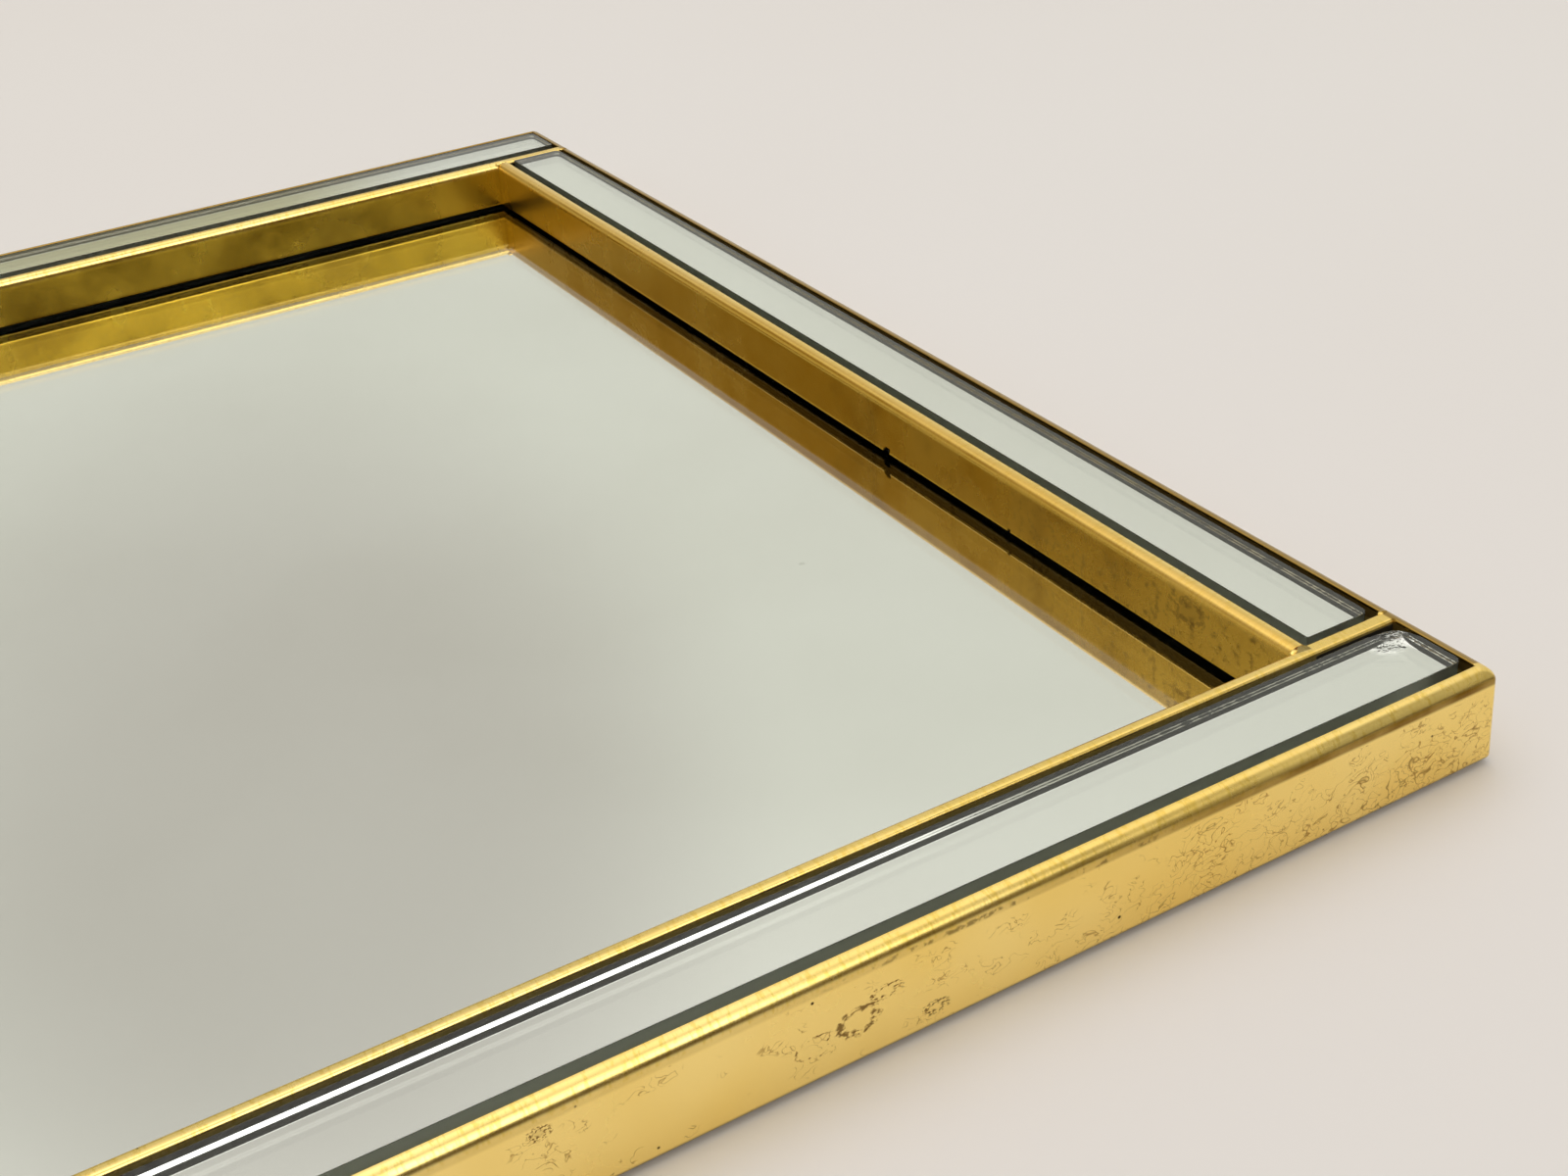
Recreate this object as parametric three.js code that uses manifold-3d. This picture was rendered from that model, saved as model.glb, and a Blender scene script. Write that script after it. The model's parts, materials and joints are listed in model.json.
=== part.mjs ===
// A mirrored vanity tray: a sheet-brass frame whose four rails are inlaid with mirror strips,
// around a sunken mirror plate on which bottles stand.
// Units are millimetres. The origin is on the table plane under the middle of the tray.
// +X runs along the front rail, +Y from the front rail to the back rail, +Z up.

import * as THREE from "three";
import { mergeVertices } from "three/addons/utils/BufferGeometryUtils.js";
import Module from "manifold-3d";

const wasm = await Module();
wasm.setup();

// ---- Driving dimensions ----

const TRAY_WIDTH = 300; // along X: the front and back rails run the whole width
const TRAY_DEPTH = 400; // along Y: the side rails are butted between them
const RAIL_WIDTH = 25.4;
const RAIL_TOP = 20.8;
const RAIL_UNDERSIDE = 0.8; // the felt pads hold the brass this far off the table

const SHEET = 0.5; // thickness of the sheet brass
const ROLL_RADIUS = 2.9; // outer top edge, a quarter round up to the channel
const INNER_LIP_RADIUS = 2.0; // inner top edge
const FOOT_RADIUS = 1.2; // outer bottom edge
const CORNER_RADIUS = 2.9; // upright outer corners
const FLANGE_WIDTH = 6.5; // sheet turned in under the rail
const WALL_FOOT = 8.05; // height at which the inner wall stops, above the mirror plate
const BUTT_GAP = 0.1; // solder line between a side rail and a through rail

const CHANNEL_NEAR = 3.0; // outer face to the channel that holds the mirror strip
const CHANNEL_FAR = 22.1;
const CHANNEL_FLOOR = 16.6;

const STRIP_WIDTH = 15.2;
const STRIP_THICKNESS = 3.6;
const STRIP_TOP = 21.15;
const STRIP_END_GAP = 1.8; // from the strip's end to the end of its channel
const STRIP_CORNER = 2.0;
const SILVER_THICKNESS = 0.1; // silvering and its backing paint
const FILM_GAP = 0.05; // keeps bonded layers apart as solids
const BEDDING_MARGIN = 1.5; // the bedding stops short of the strip's edge

const PLATE_TOP = 6.75;
const PLATE_THICKNESS = 3.5;
const PLATE_INSET = 20.8; // outer face of the frame to the edge of the mirror plate
const BOARD_THICKNESS = 1.4;
const BOARD_INSET = 17.3;
const BOARD_TOP = 3.0;

const CORE_UNDERSIDE = 1.5;
const CORE_CLEARANCE = 0.2; // between the wooden core and the sheet brass round it
const PLATE_REBATE = 20.5; // outer face to the rebate for the mirror plate
const PLATE_REBATE_TOP = 6.95;
const BOARD_REBATE = 17.0;
const BOARD_REBATE_TOP = 3.1;
const SHADOW_SETBACK = 23.4; // the core is cut back behind the foot of the inner wall
const SHADOW_TOP = 8.2;

const BRACE_INSET = 7.5; // outer face to the corner brace
const BRACE_WIDTH = 8;
const BRACE_ARM = 45;
const BRACE_THICKNESS = 1.0;
const BRACE_UNDERSIDE = 1.6;
const FIT = 0.3; // clearance round a let-in or driven piece
const SCREWS_ALONG_WIDTH = [21, 46]; // outer face of the side rail to each screw of this arm
const SCREWS_ALONG_DEPTH = [31, 46]; // outer face of the through rail to each screw of this arm
const SCREW_HEAD_RADIUS = 2.6;
const SCREW_SHANK_RADIUS = 1.4;
const SCREW_LENGTH = 11;
const SCREW_TIP_LENGTH = 2.5;

const PIN_INSET = 18.9; // outer face to the line of pins that holds the backing board
const PIN_HEAD_RADIUS = 1.5;
const PIN_HEAD_THICKNESS = 0.35;
const PIN_SHANK_RADIUS = 0.6;
const PIN_LENGTH = 7.5;
const PINS_ALONG_DEPTH = 4;
const PINS_ALONG_WIDTH = 2;

const PAD_LENGTH = 40;
const PAD_WIDTH = 8;
const PAD_THICKNESS = 1.4;
const PAD_INSET = 12; // outer face to the middle line of a felt pad
const PAD_FROM_MIDDLE = 125; // along the side rails
const PAD_CORNER = 3.5;

const HALF_WIDTH = TRAY_WIDTH / 2;
const HALF_DEPTH = TRAY_DEPTH / 2;
const SIDE_RAIL_LENGTH = TRAY_DEPTH - 2 * RAIL_WIDTH - 2 * BUTT_GAP;
const ARC_STEPS = 3; // THREE draws twice this many segments on an arc
const ROUND_STEPS = 12; // segments round a screw or a pin
const BEYOND = 5; // how far a cutting solid runs past what it cuts

// ---- Materials ----

function finish(color, roughness, metalness) {
  return new THREE.MeshStandardMaterial({ color, roughness, metalness });
}

const BRASS = finish(0xd6ae58, 0.28, 1);
const CORE_WOOD = finish(0x8d6b45, 0.8, 0);
const GLASS = finish(0x8fa196, 0.05, 0);
const SILVERING = finish(0xd0cdc2, 0.05, 1);
const BEDDING = finish(0x17140f, 0.7, 0);
const HARDBOARD = finish(0x6e4d31, 0.85, 0);
const ZINC_STEEL = finish(0x9a9b9c, 0.4, 1);
const FELT = finish(0x1f2a22, 1, 0);

// ---- Solids ----

function solidFrom(geometry) {
  geometry.deleteAttribute("normal");
  geometry.deleteAttribute("uv");
  const merged = mergeVertices(geometry, 1e-4);
  return new wasm.Manifold(
    new wasm.Mesh({
      numProp: 3,
      vertProperties: new Float32Array(merged.attributes.position.array),
      triVerts: new Uint32Array(merged.index.array),
    }),
  );
}

function geometryFrom(solid) {
  const mesh = solid.getMesh();
  const geometry = new THREE.BufferGeometry();
  geometry.setAttribute("position", new THREE.BufferAttribute(mesh.vertProperties, 3));
  geometry.setIndex(new THREE.BufferAttribute(mesh.triVerts, 1));
  geometry.computeVertexNormals();
  return geometry;
}

function subtractAll(solid, cutters) {
  return cutters.reduce((rest, cutter) => rest.subtract(cutter), solid);
}

function makePiece(name, solid, material) {
  const piece = new THREE.Mesh(geometryFrom(solid), material);
  piece.name = name;
  return piece;
}

// A closed outline through square corners [x, y, radius]; a radius of 0 or none leaves a sharp corner.
function outline(corners) {
  const shape = new THREE.Shape();
  corners.forEach(([x, y, radius = 0], i) => {
    const corner = new THREE.Vector2(x, y);
    const [previousX, previousY] = corners[(i + corners.length - 1) % corners.length];
    const [nextX, nextY] = corners[(i + 1) % corners.length];
    const back = new THREE.Vector2(previousX, previousY).sub(corner).normalize();
    const onward = new THREE.Vector2(nextX, nextY).sub(corner).normalize();
    const start = corner.clone().addScaledVector(back, radius);
    if (i === 0) shape.moveTo(start.x, start.y);
    else shape.lineTo(start.x, start.y);
    if (radius === 0) return;
    const centre = start.clone().addScaledVector(onward, radius);
    const end = corner.clone().addScaledVector(onward, radius);
    const startAngle = start.sub(centre).angle();
    const endAngle = end.sub(centre).angle();
    shape.absarc(centre.x, centre.y, radius, startAngle, endAngle, back.cross(onward) > 0);
  });
  return shape;
}

// The outline of a rectangle, with one radius for each corner, counter-clockwise from its lowest x and y.
function rectangle(x0, y0, x1, y1, radii = [0, 0, 0, 0]) {
  const places = [[x0, y0], [x1, y0], [x1, y1], [x0, y1]];
  return outline(places.map((place, i) => [...place, radii[i]]));
}

function extrude(shape, depth) {
  return new THREE.ExtrudeGeometry(shape, { depth, bevelEnabled: false, curveSegments: ARC_STEPS });
}

// An upright slab: the outline lies in the XY plane.
function slab(shape, bottom, top) {
  return solidFrom(extrude(shape, top - bottom).translate(0, 0, bottom));
}

function box([x0, y0, z0], [x1, y1, z1]) {
  return slab(rectangle(x0, y0, x1, y1), z0, z1);
}

// A bar along X: the outline is its (y, z) section.
function barAlongX(shape, length) {
  const turn = new THREE.Matrix4().makeBasis(
    new THREE.Vector3(0, 1, 0),
    new THREE.Vector3(0, 0, 1),
    new THREE.Vector3(1, 0, 0),
  );
  return solidFrom(extrude(shape, length).translate(0, 0, -length / 2).applyMatrix4(turn));
}

// A bar along Y from near to far: the outline is its (x, z) section.
function barAlongY(shape, near, far) {
  const turn = new THREE.Matrix4().makeBasis(
    new THREE.Vector3(1, 0, 0),
    new THREE.Vector3(0, 0, 1),
    new THREE.Vector3(0, -1, 0),
  );
  return solidFrom(extrude(shape, far - near).translate(0, 0, -far).applyMatrix4(turn));
}

// A turned piece standing on the axis at (x, y): steps are [radius, height] from bottom to top.
function turned(x, y, steps) {
  const profile = steps.map(([radius, height]) => new THREE.Vector2(radius, height));
  const lathe = new THREE.LatheGeometry(profile, ROUND_STEPS);
  return solidFrom(lathe.rotateX(Math.PI / 2).translate(x, y, 0));
}

// ---- Rails ----
// A rail is made lying along X with its outer face on y = 0 and its inner wall at y = RAIL_WIDTH,
// and its group then turns it into place. A through rail is closed at its ends and a side rail is open.

// The full block of a rail, drawn in by inset on every sheet face.
function railBlock(rail, inset) {
  const foot = FOOT_RADIUS - inset;
  const roll = ROLL_RADIUS - inset;
  const low = RAIL_UNDERSIDE + inset;
  const high = RAIL_TOP - inset;
  const far = RAIL_WIDTH - inset;
  const section = rectangle(inset, low, far, high, [foot, 0, INNER_LIP_RADIUS - inset, roll]);
  const block = barAlongX(section, rail.length + (rail.closed ? 0 : 2 * inset));
  if (!rail.closed) return block;
  const end = rail.length / 2 - inset;
  const corner = CORNER_RADIUS - inset;
  const ends = barAlongY(rectangle(-end, low, end, high, [foot, foot, roll, roll]), 0, RAIL_WIDTH);
  const plan = slab(rectangle(-end, inset, end, far, [corner, corner, 0, 0]), low, high);
  return block.intersect(ends).intersect(plan);
}

function railCasing(rail) {
  const end = rail.length / 2;
  const channelEnd = rail.closed ? end - CHANNEL_NEAR : end + BEYOND;
  const troughEnd = rail.closed ? channelEnd + SHEET : channelEnd;
  const trough = box(
    [-troughEnd, CHANNEL_NEAR - SHEET, CHANNEL_FLOOR - SHEET],
    [troughEnd, CHANNEL_FAR + SHEET, RAIL_TOP + BEYOND],
  );
  const hollow = railBlock(rail, SHEET).subtract(trough);
  const channel = box(
    [-channelEnd, CHANNEL_NEAR, CHANNEL_FLOOR],
    [channelEnd, CHANNEL_FAR, RAIL_TOP + BEYOND],
  );
  const openEnd = rail.closed ? end - FLANGE_WIDTH : end + BEYOND;
  const underside = box([-openEnd, FLANGE_WIDTH, 0], [openEnd, RAIL_WIDTH - SHEET, CORE_UNDERSIDE]);
  const footEnd = rail.closed ? end - SHEET : end + BEYOND;
  const wallFoot = box(
    [-footEnd, RAIL_WIDTH - 2 * SHEET, 0],
    [footEnd, RAIL_WIDTH + BEYOND, WALL_FOOT],
  );
  return subtractAll(railBlock(rail, 0), [hollow, channel, underside, wallFoot]);
}

// The tray's rebates, as the rail sees them: a through rail's stop short of its ends.
function railRebates(rail) {
  return [
    [PLATE_REBATE, PLATE_REBATE_TOP],
    [BOARD_REBATE, BOARD_REBATE_TOP],
    [SHADOW_SETBACK, SHADOW_TOP],
  ].map(([inset, top]) => {
    const end = rail.closed ? rail.length / 2 - inset : rail.length;
    return box([-end, inset, 0], [end, RAIL_WIDTH + BEYOND, top]);
  });
}

function railCore(rail) {
  const skin = SHEET + CORE_CLEARANCE;
  const end = rail.length / 2 - (rail.closed ? skin : 0);
  const corner = FOOT_RADIUS;
  const section = rectangle(
    skin,
    CORE_UNDERSIDE,
    RAIL_WIDTH - skin,
    CHANNEL_FLOOR - skin,
    [corner, 0, 0, 0],
  );
  const blank = barAlongX(section, 2 * end);
  const plan = slab(
    rectangle(-end, skin, end, RAIL_WIDTH - skin, [CORNER_RADIUS, CORNER_RADIUS, 0, 0]),
    0,
    RAIL_TOP,
  );
  const shaped = rail.closed ? blank.intersect(plan) : blank;
  return subtractAll(shaped, railRebates(rail));
}

// One flat layer of the inlaid strip, drawn in by margin from the edge of the glass.
function stripLayer(rail, margin, bottom, top) {
  const channelEnd = rail.length / 2 - (rail.closed ? CHANNEL_NEAR : 0);
  const end = channelEnd - STRIP_END_GAP - margin;
  const middle = (CHANNEL_NEAR + CHANNEL_FAR) / 2;
  const half = STRIP_WIDTH / 2 - margin;
  const radius = Math.max(STRIP_CORNER - margin, 0.5);
  return slab(
    rectangle(-end, middle - half, end, middle + half, [radius, radius, radius, radius]),
    bottom,
    top,
  );
}

function makeRail(rail, coreCutters) {
  const glassBottom = STRIP_TOP - STRIP_THICKNESS;
  const silverTop = glassBottom - FILM_GAP;
  const silverBottom = silverTop - SILVER_THICKNESS;
  const glass = stripLayer(rail, 0, glassBottom, STRIP_TOP);
  const silver = stripLayer(rail, 0, silverBottom, silverTop);
  const bedding = stripLayer(
    rail,
    BEDDING_MARGIN,
    CHANNEL_FLOOR + FILM_GAP,
    silverBottom - FILM_GAP,
  );
  const core = subtractAll(railCore(rail), coreCutters);
  const group = new THREE.Group();
  group.position.set(...rail.place);
  group.rotation.z = rail.turn;
  group.add(
    makePiece(`${rail.name}_rail_casing`, railCasing(rail), BRASS),
    makePiece(`${rail.name}_rail_core`, core, CORE_WOOD),
    makePiece(`${rail.name}_strip_glass`, glass, GLASS),
    makePiece(`${rail.name}_strip_silvering`, silver, SILVERING),
    makePiece(`${rail.name}_strip_bedding`, bedding, BEDDING),
  );
  return group;
}

// ---- Mirror plate, backing board and what holds them ----

function centredSlab(inset, bottom, top) {
  const x = HALF_WIDTH - inset;
  const y = HALF_DEPTH - inset;
  return slab(rectangle(-x, -y, x, y), bottom, top);
}

// The places of the pins, round the edge of the backing board.
function pinPlaces() {
  const x = HALF_WIDTH - PIN_INSET;
  const y = HALF_DEPTH - PIN_INSET;
  const places = [];
  for (const side of [-1, 1]) {
    for (let i = 0; i < PINS_ALONG_DEPTH; i += 1) {
      places.push([side * x, ((2 * i + 1) / PINS_ALONG_DEPTH - 1) * y]);
    }
    for (let i = 0; i < PINS_ALONG_WIDTH; i += 1) {
      places.push([((2 * i + 1) / PINS_ALONG_WIDTH - 1) * x, side * y]);
    }
  }
  return places;
}

function pin([x, y], clearance = 0) {
  const headTop = BOARD_TOP - BOARD_THICKNESS - FILM_GAP;
  const head = PIN_HEAD_RADIUS + clearance;
  const shank = PIN_SHANK_RADIUS + clearance;
  return turned(x, y, [
    [0, headTop - PIN_HEAD_THICKNESS],
    [head, headTop - PIN_HEAD_THICKNESS],
    [head, headTop],
    [shank, headTop],
    [shank, headTop + PIN_LENGTH - shank + clearance],
    [0, headTop + PIN_LENGTH + clearance],
  ]);
}

// ---- Corner braces ----
// A corner is named by the signs of its x and y.

const CORNERS = [
  { name: "front_left", sx: -1, sy: -1 },
  { name: "front_right", sx: 1, sy: -1 },
  { name: "back_left", sx: -1, sy: 1 },
  { name: "back_right", sx: 1, sy: 1 },
];

// The two arms of a corner brace, grown by clearance.
function braceArms({ sx, sy }, clearance, top) {
  const near = BRACE_INSET - clearance;
  const wide = BRACE_INSET + BRACE_WIDTH + clearance;
  const long = BRACE_INSET + BRACE_ARM + clearance;
  const arm = (alongX, alongY) => {
    const xs = [sx * (HALF_WIDTH - near), sx * (HALF_WIDTH - alongX)].sort((a, b) => a - b);
    const ys = [sy * (HALF_DEPTH - near), sy * (HALF_DEPTH - alongY)].sort((a, b) => a - b);
    return box([xs[0], ys[0], BRACE_UNDERSIDE - clearance], [xs[1], ys[1], top]);
  };
  return arm(long, wide).add(arm(wide, long));
}

function screwPlaces({ sx, sy }) {
  const line = BRACE_INSET + BRACE_WIDTH / 2;
  const place = (insetX, insetY) => [sx * (HALF_WIDTH - insetX), sy * (HALF_DEPTH - insetY)];
  return [
    ...SCREWS_ALONG_WIDTH.map((inset) => place(inset, line)),
    ...SCREWS_ALONG_DEPTH.map((inset) => place(line, inset)),
  ];
}

// A countersunk screw, its head flush with the underside of the brace.
function screw([x, y]) {
  const top = BRACE_UNDERSIDE + SCREW_LENGTH;
  return turned(x, y, [
    [0, BRACE_UNDERSIDE],
    [SCREW_HEAD_RADIUS, BRACE_UNDERSIDE],
    [SCREW_SHANK_RADIUS, BRACE_UNDERSIDE + BRACE_THICKNESS],
    [SCREW_SHANK_RADIUS, top - SCREW_TIP_LENGTH],
    [0, top],
  ]);
}

function screwHole([x, y]) {
  const top = BRACE_UNDERSIDE + SCREW_LENGTH + FIT;
  const shank = SCREW_SHANK_RADIUS + FIT;
  return turned(x, y, [
    [0, 0],
    [SCREW_HEAD_RADIUS + FIT, 0],
    [SCREW_HEAD_RADIUS + FIT, BRACE_UNDERSIDE],
    [shank, BRACE_UNDERSIDE + BRACE_THICKNESS],
    [shank, top - SCREW_TIP_LENGTH],
    [0, top],
  ]);
}

// ---- The tray ----

const RAILS = [
  { name: "front", length: TRAY_WIDTH, closed: true, place: [0, -HALF_DEPTH, 0], turn: 0 },
  { name: "right", length: SIDE_RAIL_LENGTH, closed: false, place: [HALF_WIDTH, 0, 0], turn: Math.PI / 2 },
  { name: "back", length: TRAY_WIDTH, closed: true, place: [0, HALF_DEPTH, 0], turn: Math.PI },
  { name: "left", length: SIDE_RAIL_LENGTH, closed: false, place: [-HALF_WIDTH, 0, 0], turn: -Math.PI / 2 },
];

// Moves a cutter from the tray's frame to a rail's own frame.
function toRail(solid, rail) {
  const [x, y, z] = rail.place;
  return solid.translate([-x, -y, -z]).rotate([0, 0, (-rail.turn * 180) / Math.PI]);
}

const tray = new THREE.Group();

const braceCutters = CORNERS.flatMap((corner) => [
  braceArms(corner, FIT, BRACE_UNDERSIDE + BRACE_THICKNESS + FIT),
  ...screwPlaces(corner).map(screwHole),
]);
const pinCutters = pinPlaces().map((place) => pin(place, FIT));

for (const rail of RAILS) {
  const cutters = [...braceCutters, ...pinCutters].map((cutter) => toRail(cutter, rail));
  tray.add(makeRail(rail, cutters));
}

const plateBottom = PLATE_TOP - PLATE_THICKNESS;
const silverTop = plateBottom - FILM_GAP;
const silverBottom = silverTop - SILVER_THICKNESS;
const boardBlank = centredSlab(BOARD_INSET, BOARD_TOP - BOARD_THICKNESS, BOARD_TOP);
tray.add(
  makePiece("mirror_plate_glass", centredSlab(PLATE_INSET, plateBottom, PLATE_TOP), GLASS),
  makePiece("mirror_plate_silvering", centredSlab(PLATE_INSET, silverBottom, silverTop), SILVERING),
  makePiece("backing_board", subtractAll(boardBlank, pinCutters), HARDBOARD),
);

pinPlaces().forEach((place, i) => {
  tray.add(makePiece(`board_pin_${i + 1}`, pin(place), ZINC_STEEL));
});

for (const corner of CORNERS) {
  const places = screwPlaces(corner);
  const arms = braceArms(corner, 0, BRACE_UNDERSIDE + BRACE_THICKNESS);
  const brace = subtractAll(arms, places.map(screwHole));
  tray.add(makePiece(`corner_brace_${corner.name}`, brace, ZINC_STEEL));
  places.forEach((place, i) => {
    tray.add(makePiece(`brace_screw_${corner.name}_${i + 1}`, screw(place), ZINC_STEEL));
  });
  const x = corner.sx * (HALF_WIDTH - PAD_INSET);
  const y = corner.sy * PAD_FROM_MIDDLE;
  const pad = rectangle(
    x - PAD_WIDTH / 2,
    y - PAD_LENGTH / 2,
    x + PAD_WIDTH / 2,
    y + PAD_LENGTH / 2,
    [PAD_CORNER, PAD_CORNER, PAD_CORNER, PAD_CORNER],
  );
  tray.add(makePiece(`felt_pad_${corner.name}`, slab(pad, 0, PAD_THICKNESS), FELT));
}

export default tray;
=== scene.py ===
"""A mirrored vanity tray: brass rails inlaid with mirror strips, round a sunken mirror plate."""

import json
import logging
import math
from dataclasses import dataclass, field
from enum import Enum
from typing import Callable, Iterable

import bmesh
import bpy
from mathutils import Matrix, Vector, noise

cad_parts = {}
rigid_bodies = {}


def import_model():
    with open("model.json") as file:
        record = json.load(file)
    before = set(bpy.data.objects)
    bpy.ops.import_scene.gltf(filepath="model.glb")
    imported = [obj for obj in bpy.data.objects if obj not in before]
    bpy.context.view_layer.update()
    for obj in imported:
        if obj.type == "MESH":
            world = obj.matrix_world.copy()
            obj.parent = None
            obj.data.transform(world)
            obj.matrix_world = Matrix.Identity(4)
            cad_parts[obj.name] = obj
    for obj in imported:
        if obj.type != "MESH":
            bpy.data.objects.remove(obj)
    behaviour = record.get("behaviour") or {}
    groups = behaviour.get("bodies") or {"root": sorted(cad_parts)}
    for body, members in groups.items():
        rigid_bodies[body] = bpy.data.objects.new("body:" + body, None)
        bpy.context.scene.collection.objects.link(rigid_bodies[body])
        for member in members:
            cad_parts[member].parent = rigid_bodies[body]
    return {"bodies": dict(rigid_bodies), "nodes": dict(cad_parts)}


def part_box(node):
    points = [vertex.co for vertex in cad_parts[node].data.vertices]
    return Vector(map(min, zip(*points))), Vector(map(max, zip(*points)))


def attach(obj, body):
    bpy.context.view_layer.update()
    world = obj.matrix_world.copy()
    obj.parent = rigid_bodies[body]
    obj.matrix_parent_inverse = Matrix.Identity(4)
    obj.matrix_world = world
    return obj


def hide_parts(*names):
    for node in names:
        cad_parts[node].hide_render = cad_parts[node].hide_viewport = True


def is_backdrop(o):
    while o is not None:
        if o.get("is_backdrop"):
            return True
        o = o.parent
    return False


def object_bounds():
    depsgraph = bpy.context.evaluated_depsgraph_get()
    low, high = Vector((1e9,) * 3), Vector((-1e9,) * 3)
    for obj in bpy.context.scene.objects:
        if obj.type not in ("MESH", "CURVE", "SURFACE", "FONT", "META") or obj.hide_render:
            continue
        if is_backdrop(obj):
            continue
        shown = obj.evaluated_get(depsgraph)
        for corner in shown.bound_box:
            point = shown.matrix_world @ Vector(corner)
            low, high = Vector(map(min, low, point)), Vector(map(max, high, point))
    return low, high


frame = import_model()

MM = 0.001
SMOOTH_ANGLE = math.radians(32)
FOLD_ANGLE = 1.0
TOUCH = 0.001 * MM
CUT_SLACK = 1e-7
UP = Vector((0, 0, 1))
ALONG = Vector((1, 0, 0))
ACROSS = Vector((0, 1, 0))

Socket = bpy.types.NodeSocket
Mesh = bmesh.types.BMesh
Colour = tuple[float, float, float, float]
Triple = tuple[float, float, float]
Span = tuple[float, float]

log = logging.getLogger("tray")


# ---------------------------------------------------------------- shared helpers


class Side(Enum):
    """The four rails, each with the turn that brings a rail made lying along X into its place."""

    FRONT = ("front", 0.0)
    RIGHT = ("right", math.pi / 2)
    BACK = ("back", math.pi)
    LEFT = ("left", -math.pi / 2)

    @property
    def word(self) -> str:
        """The side's name, as the nodes carry it."""
        return self.value[0]

    @property
    def through(self) -> bool:
        """Whether the rail runs the whole width and is closed at its ends."""
        return self in (Side.FRONT, Side.BACK)

    def place(self, half_width: float, half_depth: float) -> Matrix:
        """The matrix from a rail's own frame to the tray's.

        Args:
            half_width: Half of the tray's size along X.
            half_depth: Half of the tray's size along Y.

        Returns:
            The rail's place: its outer face, at y = 0 in its own frame, goes to the tray's outside.
        """
        turn = Matrix.Rotation(self.value[1], 4, "Z")
        reach = half_depth if self.through else half_width
        return turn @ Matrix.Translation((0.0, -reach, 0.0))


def pick(items: Iterable, test: Callable[[Vector], bool]) -> list:
    """The mesh elements whose every vertex passes a test.

    Args:
        items: Faces, edges or vertices of a bmesh.
        test: Says whether a place belongs.

    Returns:
        The elements that pass.
    """
    return [e for e in items if all(test(v.co) for v in (getattr(e, "verts", None) or [e]))]


def near(a: float, b: float, slack: float = 0.02 * MM) -> bool:
    """Whether two lengths are the same within a slack."""
    return abs(a - b) < slack


def block(lo: Vector, hi: Vector) -> Mesh:
    """A bmesh of a square block between two corners.

    Args:
        lo: The corner with the least x, y and z.
        hi: The corner opposite.

    Returns:
        The block.
    """
    bm = bmesh.new()
    bmesh.ops.create_cube(bm, size=1.0, matrix=Matrix.LocRotScale((hi + lo) / 2, None, hi - lo))
    return bm


def round_edges(bm: Mesh, edges: list, radius: float, steps: int) -> None:
    """Rounds edges to a radius in a number of steps.

    Args:
        bm: The mesh.
        edges: The edges to round.
        radius: How far from the edge the rounding starts.
        steps: Faces across the rounding.
    """
    bmesh.ops.bevel(
        bm, geom=edges, offset=radius, offset_type="OFFSET", segments=steps, profile=0.5,
        affect="EDGES", clamp_overlap=False, material=-1,
    )


def cut(bm: Mesh, place: Vector, normal: Vector, faces: list | None = None) -> None:
    """Cuts across a mesh, or across some of its faces, without removing anything.

    Args:
        bm: The mesh.
        place: A point on the cutting plane.
        normal: The plane's normal.
        faces: The faces to cut, or None for all of them.
    """
    chosen = faces if faces is not None else bm.faces[:]
    geom = set(chosen)
    for face in chosen:
        geom.update(face.edges)
        geom.update(face.verts)
    bmesh.ops.bisect_plane(bm, geom=list(geom), plane_co=place, plane_no=normal, dist=CUT_SLACK)


def extrude(bm: Mesh, faces: list, move: Triple) -> None:
    """Extrudes faces and moves the new ones.

    Args:
        bm: The mesh.
        faces: The faces to extrude.
        move: How far the new faces go.
    """
    made = bmesh.ops.extrude_face_region(bm, geom=faces)["geom"]
    moved = [v for v in made if isinstance(v, bmesh.types.BMVert)]
    bmesh.ops.translate(bm, vec=move, verts=moved)


def folded(edges: Iterable) -> list:
    """The edges at which two faces meet at a sharp angle."""
    return [e for e in edges if e.calc_face_angle(0.0) > FOLD_ANGLE]


def upright(bm: Mesh) -> list:
    """The upright edges of a mesh."""
    return [e for e in bm.edges if all(near(*(v.co[axis] for v in e.verts)) for axis in (0, 1))]


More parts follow.
